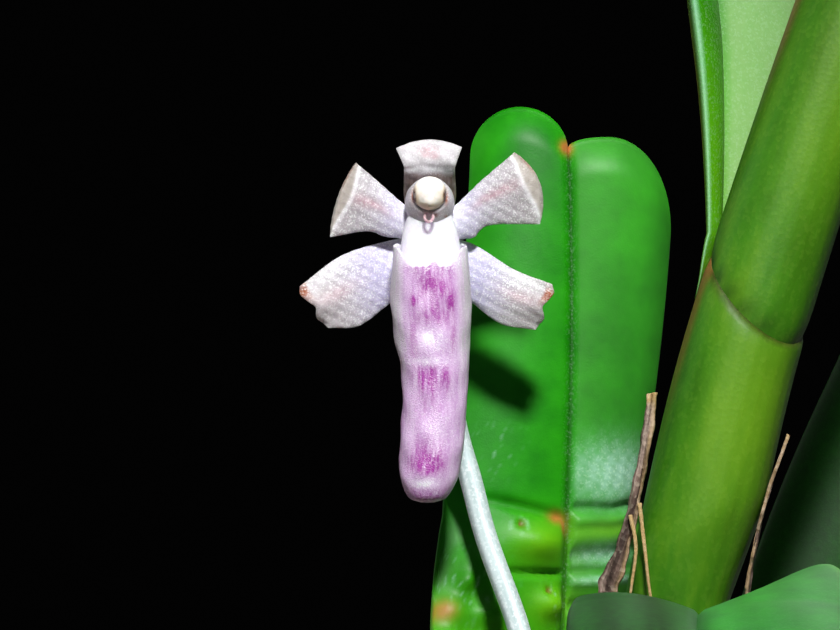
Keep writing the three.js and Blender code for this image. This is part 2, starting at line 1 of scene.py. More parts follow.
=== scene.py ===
# %% [markdown]
# # A small epiphytic orchid in flower, in a clay pot
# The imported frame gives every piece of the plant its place. This lesson dresses it. The soft living pieces
# are rebuilt as fine surfaces worked out with numpy, and each finish is mixed from noise and from values
# painted on the surfaces' own points. Lengths are in millimetres until they go into a mesh, which is in
# metres.

import bmesh
import bpy
import numpy as np
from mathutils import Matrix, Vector


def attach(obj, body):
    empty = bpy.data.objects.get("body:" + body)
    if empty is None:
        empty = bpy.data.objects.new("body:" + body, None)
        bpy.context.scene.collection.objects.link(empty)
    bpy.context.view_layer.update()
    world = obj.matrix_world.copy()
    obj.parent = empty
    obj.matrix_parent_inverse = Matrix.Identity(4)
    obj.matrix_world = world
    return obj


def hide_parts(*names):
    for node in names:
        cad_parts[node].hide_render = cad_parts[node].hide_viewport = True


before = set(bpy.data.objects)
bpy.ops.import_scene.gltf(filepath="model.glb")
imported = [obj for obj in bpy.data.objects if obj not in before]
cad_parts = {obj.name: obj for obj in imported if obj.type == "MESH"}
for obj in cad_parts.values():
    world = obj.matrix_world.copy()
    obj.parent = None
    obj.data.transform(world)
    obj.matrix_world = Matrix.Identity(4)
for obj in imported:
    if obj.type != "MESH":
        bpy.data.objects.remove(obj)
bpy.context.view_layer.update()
scene = bpy.context.scene
MM = 0.001
print("nodes in the frame:", len(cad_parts))

# %% [markdown]
# ## Camera and light
# The picture is a level close-up from a quarter of a metre, lit by a flash held above the lens, with
# nothing lit behind the plant. One small bright softbox stands in for the flash. Wide soft ones fill the
# shadows and light the plant from its other sides. The world is nearly black and the floor is pale.

# %% Camera
camera = bpy.data.objects.new("camera", bpy.data.cameras.new("camera"))
scene.collection.objects.link(camera)
camera.location = (0, -0.25, 0.14)
camera.rotation_euler = (np.pi / 2, 0, 0)
camera.data.lens = 214.3  # a 42 mm wide field at the flower
camera.data.clip_start = 0.01
scene.camera = camera
scene.view_settings.view_transform = "Standard"


# %% Softboxes, world and floor
def softbox(name, spot, size, power, spread=180):
    """A square light at spot, in metres, that faces the flower. spread is the width of its cone in degrees,
    and a narrow cone is the brighter for it. The camera doesn't see the light itself."""
    light = bpy.data.objects.new(name, bpy.data.lights.new(name, "AREA"))
    scene.collection.objects.link(light)
    light.location = spot
    light.rotation_euler = (Vector(spot) - Vector((0, 0, 0.14))).to_track_quat("Z", "Y").to_euler()
    light.data.size = size
    light.data.energy = power
    light.data.spread = np.radians(spread)
    light.visible_camera = False


softbox("flash", (0.03, -0.25, 0.40), 0.045, 0.32, spread=70)
softbox("front_fill", (-0.10, -0.60, 0.20), 0.30, 0.05)
softbox("top_fill", (0.25, -0.15, 0.90), 0.60, 0.3)
softbox("left_fill", (-1.0, 0.25, 0.55), 0.80, 1.5)
softbox("back_fill", (0.45, 1.10, 0.60), 0.90, 3.5)

world = bpy.data.worlds.new("dark_room")
scene.world = world
world.use_nodes = True
world.node_tree.nodes["Background"].inputs["Color"].default_value = (0.0008, 0.0008, 0.0008, 1)

bpy.ops.mesh.primitive_circle_add(vertices=96, radius=1.6, fill_type="NGON", location=(0, 0, -0.0005))
floor = bpy.context.object
floor.name = "floor"

# %% [markdown]
# ## Helpers for finishes
# Colours are written as the sRGB hex codes that a colour picker gives, and turned to linear once. Every
# node of every finish is added by the same small function. Living tissue always has the same build: two or
# three tones mixed by soft noise, colours painted where the plant has them, painted shade and painted
# highlights where the light falls, cells painted bright one by one as glints of the flash, and a fine bump.


# %% Colour, nodes and materials
def linear(code):
    """sRGB hex to linear: c / 12.92 up to 0.04045, and ((c + 0.055) / 1.055) ** 2.4 above it."""
    c = np.array([int(code[i : i + 2], 16) for i in (1, 3, 5)]) / 255
    return (*np.where(c <= 0.04045, c / 12.92, ((c + 0.055) / 1.055) ** 2.4).tolist(), 1.0)


def add(tree, kind, sockets=(), stops=(), **settings):
    """Adds a node: its settings, its sockets' values or links, and for a ramp its stops of place and
    tone."""
    node = tree.nodes.new("ShaderNode" + kind)
    for name, value in settings.items():
        setattr(node, name, value)
    for name, value in dict(sockets).items():
        if isinstance(value, bpy.types.NodeSocket):
            tree.links.new(value, node.inputs[name])
        else:
            node.inputs[name].default_value = value
    for i, (spot, value) in enumerate(stops):
        stop = node.color_ramp.elements[i] if i < 2 else node.color_ramp.elements.new(spot)
        stop.position = spot
        stop.color = linear(value) if isinstance(value, str) else (value, value, value, 1)
    return node


def finish(name, scatter=(), **shader_values):
    """A new material with its shader's plain values set. scatter is the weight of subsurface scattering,
    its scale in metres, and the reach of red, green and blue. Returns the material, its node tree and its
    shader."""
    shader_values |= zip(("Subsurface_Weight", "Subsurface_Scale", "Subsurface_Radius"), scatter)
    made = bpy.data.materials.new(name)
    made.use_nodes = True
    shader = made.node_tree.nodes["Principled BSDF"]
    for socket, value in shader_values.items():
        shader.inputs[socket.replace("_", " ")].default_value = value
    return made, made.node_tree, shader


def noise(tree, place, scale, detail=3.0, **more):
    """A noise pattern over place, as one value."""
    return add(tree, "TexNoise", {"Vector": place, "Scale": scale, "Detail": detail, **more}).outputs["Fac"]


def mix(tree, share, below, code):
    """The colour below with a share of the colour code laid over it."""
    return add(tree, "Mix", {0: share, 6: below, 7: linear(code)}, data_type="RGBA").outputs[2]


def roughen(tree, shader, first, second, strength, rise):
    """Bump from the sum of two patterns. It stands out by rise metres."""
    height = add(tree, "Math", {0: first, 1: second}, operation="ADD").outputs[0]
    bump = add(tree, "Bump", {"Height": height, "Strength": strength, "Distance": rise})
    tree.links.new(bump.outputs["Normal"], shader.inputs["Normal"])


BRIGHT_CELLS = [(0.62, 0.0), (0.78, 1.0)]  # only the brightest of the cells' random tones glint


def tissue(name, tones, layers, patch, cell, glint, grain_size, rise, ragged=1.2, **shader_values):
    """Living or dead plant tissue. patch, cell, grain_size and rise are in mm: the size of the patches of
    tone, of one glinting cell, of the bump's grain, and how far that stands out. The pattern follows the
    grain values painted on the piece, which run along it and are squeezed lengthwise, so that noise becomes
    streaks. ragged says how strongly the streaks break up the painted layers."""
    made, tree, shader = finish(name, **shader_values)
    grain = add(tree, "Attribute", attribute_name="grain").outputs["Vector"]
    patches = noise(tree, grain, 1 / patch, 4.0, Roughness=0.6)
    streaks = noise(tree, grain, 1 / grain_size)
    colour = add(tree, "ValToRGB", {"Fac": patches}, stops=tones).outputs["Color"]
    for layer, code in layers.items():
        amount = add(tree, "Attribute", attribute_name=layer).outputs["Fac"]
        torn = add(tree, "Math", {0: streaks, 1: ragged, 2: 1 - ragged / 2}, operation="MULTIPLY_ADD")
        share = add(tree, "Math", {0: amount, 1: torn.outputs[0]}, operation="MULTIPLY", use_clamp=True)
        colour = mix(tree, share.outputs[0], colour, code)
    # Painted highlights: cells picked at random are mixed towards the glint colour in the base colour, as
    # glints of the flash, as far as the glint value asks.
    spot = add(tree, "TexCoord").outputs["Object"]
    cells = add(tree, "TexVoronoi", {"Vector": spot, "Scale": 1000 / cell})
    bright = add(tree, "ValToRGB", {"Fac": cells.outputs["Color"]}, stops=BRIGHT_CELLS)
    strength = add(tree, "Attribute", attribute_name="glint").outputs["Fac"]
    share = add(tree, "Math", {0: bright.outputs["Color"], 1: strength}, operation="MULTIPLY", use_clamp=True)
    tree.links.new(mix(tree, share.outputs[0], colour, glint), shader.inputs["Base Color"])
    roughen(tree, shader, cells.outputs["Distance"], streaks, 1.0, rise * MM)
    return made


# %% Floor: painted board, matt and faintly uneven
pale_board, tree, shader = finish("pale_painted_board", Roughness=0.9)
grain = add(tree, "TexNoise", {"Scale": 60.0, "Detail": 3.0})
tone = add(tree, "ValToRGB", {"Fac": grain.outputs["Fac"]}, stops=[(0.3, "#D3D0CA"), (0.7, "#DAD7D1")])
tree.links.new(tone.outputs["Color"], shader.inputs["Base Color"])
floor.data.materials.append(pale_board)

# %% [markdown]
# ## Helpers for shapes
# Every new piece is a stack of closed rings. A tube's rings are circles, and a sheet's rings run along its
# front and back along its rear, so that the two meet in a fine margin. One function turns rings into a
# closed mesh, paints the values on its points, attaches the piece to the root body and hides the CAD node
# that it stands in for.


# %% Curves
def held(value):
    """value, held between 0 and 1."""
    return np.clip(value, 0, 1)


def walked(points):
    """How far along a line each of its points is."""
    return np.concatenate([[0], np.cumsum(np.linalg.norm(np.diff(points, axis=0), axis=1))])


def around(count):
    """count angles, evenly round a circle."""
    return 2 * np.pi * np.arange(count) / count


def oval(a, b, z, turn):
    """Points on ovals round the z axis: a times the cosine of turn, b times its sine, and z."""
    return np.stack(np.broadcast_arrays(a * np.cos(turn), b * np.sin(turn), z), -1)


def through(points, count):
    """count points, evenly spaced, on a Catmull-Rom curve: each span is the cubic through its two ends
    whose slope at an end is half the chord between that end's neighbours."""
    p = np.array(points, float)
    p = np.vstack([2 * p[0] - p[1], p, 2 * p[-1] - p[-2]])
    a, b, c, d = p[:-3], p[1:-2], p[2:-1], p[3:]
    t = np.linspace(0, 1, 60)[:, None, None]
    fine = 0.5 * (2 * b + (c - a) * t + (2 * a - 5 * b + 4 * c - d) * t**2 + (3 * b - a - 3 * c + d) * t**3)
    fine = fine.transpose(1, 0, 2).reshape(-1, p.shape[1])
    along = walked(fine[:, :3])
    wanted = np.linspace(0, along[-1], count)
    return np.stack([np.interp(wanted, along, fine[:, k]) for k in range(p.shape[1])], 1)


def unit(vectors):
    """Each vector divided by its length."""
    return vectors / np.maximum(np.linalg.norm(vectors, axis=-1, keepdims=True), 1e-12)


def ramp(value, low, high):
    """0 below low, 1 above high, and the smooth step 3t^2 - 2t^3 between them."""
    t = held((value - low) / (high - low))
    return t * t * (3 - 2 * t)


def hump(value, middle, wide):
    """A soft bump: exp(-((value - middle) / wide)^2)."""
    return np.exp(-(((value - middle) / wide) ** 2))


def spots(x, z, places):
    """Sum of soft spots, each (x0, z0, wide, high, amount)."""
    return sum(amount * hump(x, x0, wide) * hump(z, z0, high) for x0, z0, wide, high, amount in places)


# %% Rings
def wrap(front, back):
    """Ring grid: a front grid, then the rear one in reverse without the margin columns that the two
    share."""
    return np.concatenate([front, back[:, -2:0:-1]], axis=1)


def both(values):
    """The same values on the front and on the rear."""
    return wrap(values, values)


def sheet(middle, thickness, lift=0.0, facing=(0, -1, 0)):
    """Rings of a thin sheet: its middle surface, then half the thickness each way along the normal, which
    points to the side of facing. lift raises the front only."""
    n = unit(np.cross(np.gradient(middle, axis=1), np.gradient(middle, axis=0)))
    n = n if (n * np.array(facing)).sum() > 0 else -n
    half = (np.asarray(thickness) / 2)[..., None]
    rise = np.broadcast_to(np.asarray(lift, float), middle.shape[:2])[..., None]
    return wrap(middle + n * (half + rise), middle - n * half)


def tube(path, radius, sides):
    """Rings round a path, each square to it. radius is one number, or one for each ring or for each point."""
    tangent = unit(np.gradient(path, axis=0))
    first = unit(np.cross((0.0, 1.0, 0.0), tangent))
    second = np.cross(tangent, first)
    turn = around(sides)
    spoke = first[:, None] * np.cos(turn)[:, None] + second[:, None] * np.sin(turn)[:, None]
    radius = np.asarray(radius, float)
    reach = np.broadcast_to(radius[:, None] if radius.ndim == 1 else radius, (len(path), sides))
    return path[:, None] + spoke * reach[..., None]


def ball(centre, radii, rings, sides):
    """Rings of an egg: each radius times the sine or cosine of latitude and longitude, from the top
    down."""
    latitude = np.linspace(0.04, np.pi - 0.04, rings)[:, None]
    egg = oval(np.sin(latitude), np.sin(latitude), np.cos(latitude), around(sides))
    return egg * np.array(radii, float) + np.array(centre, float)


def straight(rings, squeeze):
    """Grain values for a tube: a point's place round the ring's middle, and the length along, squeezed."""
    middle = rings.mean(axis=1)
    reach = np.linalg.norm(rings - middle[:, None], axis=-1)
    return oval(reach, reach, walked(middle)[:, None] * squeeze, around(rings.shape[1]))


# %% From rings to a piece
def skin(name, rings, material, slot, node=None, ends="fan", grain=None, **paint):
    """A closed mesh over rings (ring, point, xyz) in millimetres. ends says how it closes: a fan over each
    round end, a strip across each flat one, or a loop from the last ring to the first. paint holds values
    for the points."""
    count = rings.shape[1]
    index = np.arange(rings.shape[0] * count).reshape(-1, count)
    rows = np.vstack([index, index[:1]]) if ends == "loop" else index
    ahead = np.roll(rows, -1, axis=1)
    faces = np.stack([rows[:-1], ahead[:-1], ahead[1:], rows[1:]], -1).reshape(-1, 4).tolist()
    m = count // 2
    j = np.arange(1, m - 1)
    for ring in (index[0], index[-1]):
        if ends == "fan":
            faces.append(ring.tolist())
        if ends == "strip":
            faces += np.stack([ring[j], ring[j + 1], ring[count - j - 1], ring[count - j]], -1).tolist()
            faces += [ring[[0, 1, -1]].tolist(), ring[[m - 1, m, m + 1]].tolist()]
    mesh = bpy.data.meshes.new(name)
    mesh.from_pydata((rings.reshape(-1, 3) * MM).tolist(), [], faces)
    for key, values in paint.items():
        spread = np.broadcast_to(values, rings.shape[:2]).astype(np.float32).ravel()
        mesh.attributes.new(key, "FLOAT", "POINT").data.foreach_set("value", np.ascontiguousarray(spread))
    spread = (rings if grain is None else grain).astype(np.float32).ravel()
    mesh.attributes.new("grain", "FLOAT_VECTOR", "POINT").data.foreach_set("vector", spread)
    return settle(name, mesh, material, node)


def settle(name, mesh, material, node=None):
    """Turns a mesh's faces outwards and smooths their shading, then gives it a finish and a body, and hides
    the CAD node that it stands in for."""
    shell = bmesh.new()
    shell.from_mesh(mesh)
    bmesh.ops.recalc_face_normals(shell, faces=shell.faces)
    shell.to_mesh(mesh)
    shell.free()
    mesh.polygons.foreach_set("use_smooth", [True] * len(mesh.polygons))
    mesh.materials.append(material)
    piece = bpy.data.objects.new(name, mesh)
    scene.collection.objects.link(piece)
    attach(piece, "root")
    if node:
        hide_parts(node)
    return piece


def rod(name, path, radius, sides, squeeze, material, slot, node=None, **paint):
    """A piece that is a tube round a path. Its grain runs along it, squeezed."""
    rings = tube(path, radius, sides)
    skin(name, rings, material, slot, node, grain=straight(rings, squeeze), **paint)


# %% [markdown]
# ## Leaf tissue
# A living leaf of this kind is fleshy, with a thin waxy cuticle over bright green cells. Light enters it
# and comes back green, and the wax gives a soft sheen broken by rows of tiny cells. The finish is a
# principled shader with some subsurface scattering. Values painted on each leaf say where it is warm,
# pale, dark or scarred, and where it has painted shade, a painted sheen and painted glints.

# %% Leaf finish
leaf_skin = tissue(
    "orchid_leaf_waxy_cuticle",
    tones=[(0.3, "#0C6E02"), (0.7, "#249408")],
    # The bluish sheen layer is a painted highlight, and the dark layer is mostly painted shade.
    layers={"warm": "#62A80C", "pale": "#94B47C", "wax": "#B4E0D0", "dark": "#0A3006", "scar": "#A8642C"},
    patch=4.0, cell=0.09, glint="#CDEED2", grain_size=0.35, rise=0.003, ragged=0.4,
    Roughness=0.48, IOR=1.45, Specular_IOR_Level=0.28, scatter=(0.06, 0.0006, (0.5, 1.0, 0.2)),
)

# %% [markdown]
# ## Leaf blades
# A strap leaf is channelled along its midrib and ends in two unequal round lobes beside a notch. It could
# be a flat shape bent by a modifier. Here its middle surface is a formula instead, the same one that the
# frame was made with, so a fine leaf lies where its solid does. The stem's line comes first, because each
# leaf's foot is on it.


# %% The stem's line
def stem_axis(z):
    """The stem's middle at height z: it leans right by a square law, and a little more beyond its elbow."""
    z = np.asarray(z, float)
    rise = z - 66
    x = 5.85 + 0.05 * rise + 0.00125 * rise**2 + 0.17 * np.log1p(np.exp((z - 137) / 2))
    return np.stack([x, -1 + 0.00055 * rise**2, z], -1)


LEFT_SIDE, RIGHT_SIDE = 145, -35


def foot(z, side):
    """Where a leaf starts: 3.6 mm out from the stem's middle at height z, in the direction side, in
    degrees."""
    turn = np.radians(side)
    return (stem_axis(z) + 3.6 * np.array([np.cos(turn), np.sin(turn), 0])).tolist()


# %% The blade formula
PEAK, NOTCH, SHOULDER, BEHIND = (0.5, 0.4), (2.2, 0.7), (2.6, 5.0), (0.0, 1.5)  # left lobe, right lobe
PLUMP = 1.3  # thickness of a blade along its middle
FOOT_FOLD, FOOT_SHARE = 26, 0.12  # fold angle at the foot, and the share of the length over which it changes
RUN_DOWN, HUG = 3.2, 3.08  # how far a foot runs down its sheath, and how far it ends from the stem's middle


def even(share):
    """A half that is share times its usual width all along, as stations of s and their factors."""
    return (0, 1), (share, share)


def blade(path, across, width=10.5, fold=(50, 10), rows=90, columns=20,
          wider=(even(1), even(1)), cushion=0.28, grown=True):
    """Middle surface of a leaf: a point on the path's Bezier curve, then out along each half by its half
    width, times the factors in wider. Each half rises by the fold angle. A leaf grown on the stem also has
    a foot that runs down onto its sheath. Returns the surface, u across, s along, the thickness and the
    front's lift."""
    # the Bezier curve, and u and v over the blade, with columns closer together at the midrib and the margins
    t = np.linspace(0, 1, 500)[:, None]
    p = np.array(path, float)
    line = (1 - t) ** 3 * p[0] + 3 * (1 - t) ** 2 * t * p[1] + 3 * (1 - t) * t**2 * p[2] + t**3 * p[3]
    along = walked(line)
    length = along[-1]
    half_columns = (1 - np.cos(np.linspace(0, np.pi, columns))) / 2
    u = np.concatenate([-half_columns[::-1], half_columns[1:]])[None, :]
    v = np.linspace(0, 1, rows)[:, None]
    # two round lobes: a half ends short of the tip by a quarter of an ellipse on either side of its peak
    peak, notch, shoulder, behind = (np.where(u < 0, *pair) for pair in (PEAK, NOTCH, SHOULDER, BEHIND))
    a = np.abs(u)
    share = np.where(a < peak, (peak - a) / peak, (a - peak) / (1 - peak))
    short = behind + np.where(a < peak, notch, shoulder) * (1 - np.sqrt(held(1 - share**2)))
    s = v * (length - short) / length
    at = lambda values: np.stack([np.interp(s * length, along, values[:, k]) for k in range(3)], -1)
    centre, tangent = at(line), unit(at(np.gradient(line, axis=0)))
    # the way across turns from the first direction to the last, and stays square to the curve
    first, last = (unit(np.array(w, float)) for w in across)
    side = first + (last - first) * s[..., None]
    side = unit(side - (side * tangent).sum(-1, keepdims=True) * tangent)
    normal = np.cross(side, tangent)
    # folded at the foot, then opening out
    opening = (fold[1] - fold[0]) * held((s - FOOT_SHARE) / 0.45)
    angle = np.radians(FOOT_FOLD + (fold[0] - FOOT_FOLD) * held(s / FOOT_SHARE) + opening)[..., None]
    # the foot has 0.42 of the width, and all of it is reached at 0.4 of the length
    half = width / 2 * (0.42 + 0.58 * np.sin(held(s / 0.4) * np.pi / 2))
    half = half * np.where(u < 0, np.interp(s, *wider[0]), np.interp(s, *wider[1]))
    soft = np.sqrt(u**2 + 0.0009) - 0.03  # a small round at the bottom of the channel
    out, up = side * (u * half)[..., None], normal * (soft * half)[..., None]
    surface = centre + out * np.cos(angle) + up * np.sin(angle)
    # thin at the foot, at the margins and at the tip, with a cushion on each half and a groove between them
    margin = np.sqrt(held(1 - a**5)) * np.sqrt(1 - 0.985 * ramp(v, 0.955, 1))
    thick = PLUMP * (0.4 + 0.6 * held(v / 0.15)) * margin * (1 - 0.35 * a**2)
    lift = margin * (cushion * 4 * a * (1 - a) - 0.16 * hump(u, 0, 0.035))
    if grown:  # fourteen rows more, down onto the sheath
        share = np.linspace(0, 1, 15)[:-1, None]
        out = (surface[:1] - stem_axis(surface[:1, :, 2]))[..., :2]
        reach = np.linalg.norm(out, axis=-1)
        low = stem_axis(surface[:1, :, 2] - RUN_DOWN * (1 - share))
        low[..., :2] += out / reach[..., None] * (HUG + (reach - HUG) * ramp(share, 0, 1))[..., None]
        surface = np.concatenate([low, surface])
        s, thick, lift = (np.concatenate([g[:1] * (0.1 + 0.9 * share), g]) for g in (s, thick, lift))
    return surface, u + 0 * s, s, thick, lift


def leaf(name, path, across, warm=0.0, wax=0.0, pale=0.0, dark=lambda x: 0.0, **shape):
    """A whole leaf with even paint, and a faint warm line at each margin. dark is painted shade, given as a
    function of x in millimetres, and the sheen and the glints are painted highlights."""
    surface, u, s, thick, lift = blade(path, across, **shape)
    front = wrap(1 + 0 * s, 0 * s)
    low, rim = (both(x) for x in (1 - ramp(s, 0.0, 0.12), ramp(np.abs(u), 0.93, 1.0)))
    yellow = held(warm + 0.45 * rim + 0.6 * low + 0.25 * (1 - front))
    facing = np.cross(np.gradient(surface, axis=1), np.gradient(surface, axis=0))
    rings = sheet(surface, thick, lift, facing)
    # Painted shade where dark is given, and faint painted glints on the front.
    shade = both(dark(surface[..., 0]) + 0 * s)
    paint = dict(pale=pale * front, wax=wax * front, dark=shade)
    paint |= dict(warm=yellow * (1 - shade), glint=0.04 * front * (1 - shade))
    skin(name + "_blade", rings, leaf_skin, "leaf", name, "strip", **paint)


# %% Leaves up the stem
LEFT, RIGHT = (0.57, 0.82, 0), (-0.57, -0.82, 0)
BACK, FRONT = (0.5, 0.86, 0), (-0.5, -0.86, 0)
leaf("leaf_low_left", [foot(84.8, LEFT_SIDE), (-8, 12, 106), (-32, 22, 112), (-56, 31, 88)],
     [LEFT, BACK])
leaf("leaf_low_right", [foot(94.8, RIGHT_SIDE), (22, -11, 114), (46, -25, 118), (66, -36, 92)],
     [RIGHT, FRONT])
# Painted shade: this near leaf is darkened on its left, as if in shade, and it has a faint painted sheen.
leaf("leaf_front", [foot(112.8, RIGHT_SIDE), (15.5, -9, 122), (10.3, -31, 134.7), (11.9, -55, 118.6)],
     [RIGHT, (-1, 0.4, 0.03)], width=12.5, fold=(50, 8), wax=0.05, wider=(even(1.12), even(0.9)),
     dark=lambda x: 0.9 - 0.68 * ramp(x, 10.5, 13.5) - 0.08 * np.sin(3 * x))
leaf("leaf_upper_right", [foot(162.8, RIGHT_SIDE), (33, -4, 176), (54, -14, 186), (80, -26, 178)],
     [RIGHT, (-0.4, -0.9, 0)])
leaf("leaf_top_left", [foot(176.8, LEFT_SIDE), (22, 12, 194), (10, 20, 214), (-8, 30, 222)],
     [LEFT, BACK], warm=0.1)
leaf("leaf_top_right", [foot(189.8, RIGHT_SIDE), (43, 2, 204), (56, -6, 222), (76, -16, 226)],
     [RIGHT, FRONT], width=9.5, warm=0.15)
leaf("leaf_youngest", [(33.9, 7.1, 187.6), (35.2, 8.5, 200), (37, 11, 216), (41, 15, 236)],
     [LEFT, BACK], width=7.5, fold=(62, 40), warm=0.3, pale=0.2, grown=False)
# Painted shade: the tall side leaf is darkened all over, as if in the stem's shadow.
leaf("side_leaf_tall", [(17.6, 17.1, 96.5), (19, 22, 114), (22.2, 30, 130.7), (43, 28, 161)],
     [(0.85, -0.5, 0), (0.93, -0.1, -0.11)], fold=(50, 2), dark=lambda x: 0.8 + 0 * x, grown=False)
leaf("side_leaf_right", [(19.9, 15.9, 90), (34, 15, 108), (54, 20, 112), (74, 27, 92)],
     [(0.1, -1, 0), (0.2, -0.97, 0)], grown=False)
leaf("side_leaf_back", [(16.4, 19.6, 91), (18, 30, 108), (26, 46, 118), (40, 62, 104)],
     [(1, 0.2, 0), (0.85, -0.5, 0)], width=9.5, grown=False)

# %% [markdown]
# ## The folded leaf at the upper left
# Its near half is seen edge on as a narrow strip with a bluish rim, and its far half faces the light, pale
# and even. The bluish rim is a painted sheen, the far half's paleness is painted light, and a painted
# shadow lies along the channel. It is a blade like the others, with a wider far half and paint of its own.

# %% Upper left leaf
surface, u, s, thick, lift = blade(
    [foot(143.8, LEFT_SIDE), (15.4, 6.4, 156), (14.5, 12, 178), (-4, 22, 206)], [LEFT, BACK], fold=(24, 12),
    wider=(even(1), even(1.45)))
skin(
    "leaf_upper_left_blade", sheet(surface, thick, lift), leaf_skin, "leaf", "leaf_upper_left", "strip",
    # Painted light: the far half is paled where it faces the light, the near margin has a painted sheen, and
    # a painted shadow darkens the channel.
    pale=wrap(0.62 * ramp(u, 0.0, 0.2) * (1 - 0.4 * ramp(s, 0.5, 0.9)), 0 * u),
    warm=wrap(0.7 * (1 - ramp(s, 0.02, 0.25)), 0.8 * (1 - ramp(s, 0.02, 0.3))),
    wax=wrap(0.35 * (1 - ramp(u, -0.995, -0.95)), 0.2 * (1 - ramp(u, -0.99, -0.9))),
    dark=wrap(0.6 * hump(u, -0.03, 0.08), 0.1 + 0 * u),
    scar=wrap(0 * u, 0.55 * hump(u, -0.75, 0.12) * (1 - ramp(s, 0.1, 0.22))),
    glint=0.08,
)

# %% [markdown]
# ## The leaf behind the flower
# Its blade stands upright with two plump halves beside the midrib. Near its foot it was squeezed as it
# grew, so it is creased across, with swollen bulges between the creases, two brown pits and an orange scar.
# Bump in the finish would look painted on there, so the bulges are real relief: soft spots and ridges that
# lift the front face. They are placed by x and z as the flower's viewer sees them. The midrib there runs
# further right than the middle of the blade, so the surface is moved over by up to 1.45 mm, in full at the
# midrib and not at all at its margins.

# %% Its surface and relief
WIDER = [((0.0, 0.40, 0.55, 0.68, 1.0), (1.3, 1.30, 1.03, 0.97, 0.94)),
         ((0.0, 0.40, 0.6, 1.0), (1.25, 1.22, 1.08, 1.09))]
MIDRIB_SHIFT = ((104, 112, 124, 131, 150), (0, 0.5, 1.45, 1.0, 0))  # height, then how far to the right
surface, u, s, thick, lift = blade(
    [foot(103.8, LEFT_SIDE), (1.5, 7.5, 110), (7.2, 4.2, 124), (7.6, 8.6, 150.75)], [LEFT, (1, 0, 0)],
    fold=(40, -6), rows=280, columns=60, wider=WIDER, cushion=0.45)
surface[..., 0] += (1 - np.abs(u)) * np.interp(surface[..., 2], *MIDRIB_SHIFT)
x, z = surface[..., 0], surface[..., 2]
left, right = 1 - ramp(u, -0.08, 0.02), ramp(u, 0.0, 0.08)
level = z - 0.09 * np.sin(x * 1.3) - 0.04 * np.sin(x * 3.1 + 1)
creases = [(130.15, 0.26, -0.26), (129.5, 0.30, 0.22), (128.7, 0.5, 0.12), (127.7, 0.5, -0.32),
           (126.95, 0.2, -0.2), (126.35, 0.28, 0.2), (125.2, 0.35, -0.3)]
relief = right * sum(amount * hump(level, height, wide) for height, wide, amount in creases)
swellings = [(5.7, 128.3, 1.5, 0.95, 0.75), (6.3, 125.2, 0.9, 0.75, 0.6), (2.4, 127.3, 0.9, 0.8, 0.5),
             (1.2, 124.9, 0.8, 0.9, 0.5), (2.9, 124.7, 0.7, 0.6, 0.55), (1.9, 126.3, 0.5, 0.5, 0.5),
             (0.8, 123.6, 0.7, 0.5, 0.5)]
long_crease = hump(z, 130.25 - (x - 4) * 0.22, 0.34) * ramp(x, 1.5, 5.0)
short_crease = hump(z, 126.75, 0.18) * ramp(x, 3.4, 4.4)
relief = relief + left * (spots(x, z, swellings) - 0.28 * long_crease - 0.3 * short_crease)
pits = spots(x, z, [(4.79, 129.2, 0.13, 0.17, 1), (6.07, 125.9, 0.12, 0.14, 1)])
lift = lift + relief - 0.3 * pits
print("notched leaf: from", round(float(z.min()), 1), "to", round(float(z.max()), 1), "mm")

# %% Its paint, with a painted sheen and painted shade
scars = spots(x, z, [(6.75, 129.6, 0.42, 0.32, 0.9), (7.1, 129.1, 0.15, 0.4, 0.8),
                     (0.85, 124.9, 0.5, 0.5, 0.8), (7.55, 148.6, 0.28, 0.35, 1.3)])
bulges = spots(x, z, [(5.8, 128.2, 1.6, 1.1, 0.8), (6.3, 125.2, 1.1, 0.9, 0.8), (9.6, 128.9, 2.5, 0.55, 0.7)])
# Painted sheen: bluish highlight patches on the right half, and fine streaks of sheen over the left half's
# bulges.
waxy = right * spots(x, z, [(9.7, 131.9, 2.3, 1.35, 0.75), (9.2, 127.7, 1.6, 0.5, 0.5),
                            (9.2, 126.4, 1.8, 0.2, 0.55)])
streaks = ramp(np.sin(x * 23 + 2 * np.sin(z * 3)), 0.7, 1)
streaks = streaks * ramp(np.sin(z * 5 + 3 * np.sin(x * 4)), -0.3, 0.6)
streaked = spots(x, z, [(2.2, 126.3, 1.6, 1.5, 1), (4.6, 129.0, 0.7, 0.4, 1), (6.6, 125.3, 0.7, 0.7, 1),
                        (3.6, 133.2, 1.0, 1.2, 0.7)])
waxy = waxy + 0.3 * streaks * left * streaked
mottle = 0.75 + 0.25 * np.sin(x * 9 + 3 * np.sin(z * 2)) * np.sin(z * 7)
# Painted shade: the margins near the top, the midrib's groove and the creases are darkened; the pits are
# real.
margins = ramp(np.abs(u), 0.7, 1) * ramp(z, 130, 134)
shaded = 0.6 * hump(u, 0, 0.018) + 0.5 * held(-relief) + pits + 0.3 * margins
skin(
    "leaf_behind_flower_blade", sheet(surface, thick, lift), leaf_skin, "leaf", "leaf_behind_flower", "strip",
    warm=wrap(held(bulges + 0.35 * (1 - ramp(z, 120, 131))), 0.3 + 0 * u),
    wax=wrap(held(waxy * mottle), 0 * u),
    pale=wrap(0.06 * right, 0.1 + 0 * u),
    dark=wrap(shaded, 0.1 + 0 * u),
    scar=wrap(held(scars + 0.4 * pits), 0 * u),
    # Painted glints along the midrib and over the sheen patches.
    glint=wrap(held(0.06 * hump(u, 0, 0.04) + 0.4 * waxy), 0 * u),
)

# %% [markdown]
# ## Sheaths
# Each sheath is the tubular foot of a leaf, wrapped round the stem: green while its leaf lives, papery and
# brown when that has dropped. Fine veins run up it. Young and old sheaths could have a finish each, but one
# that reads the sheath's age from its points can also show one that is turning.

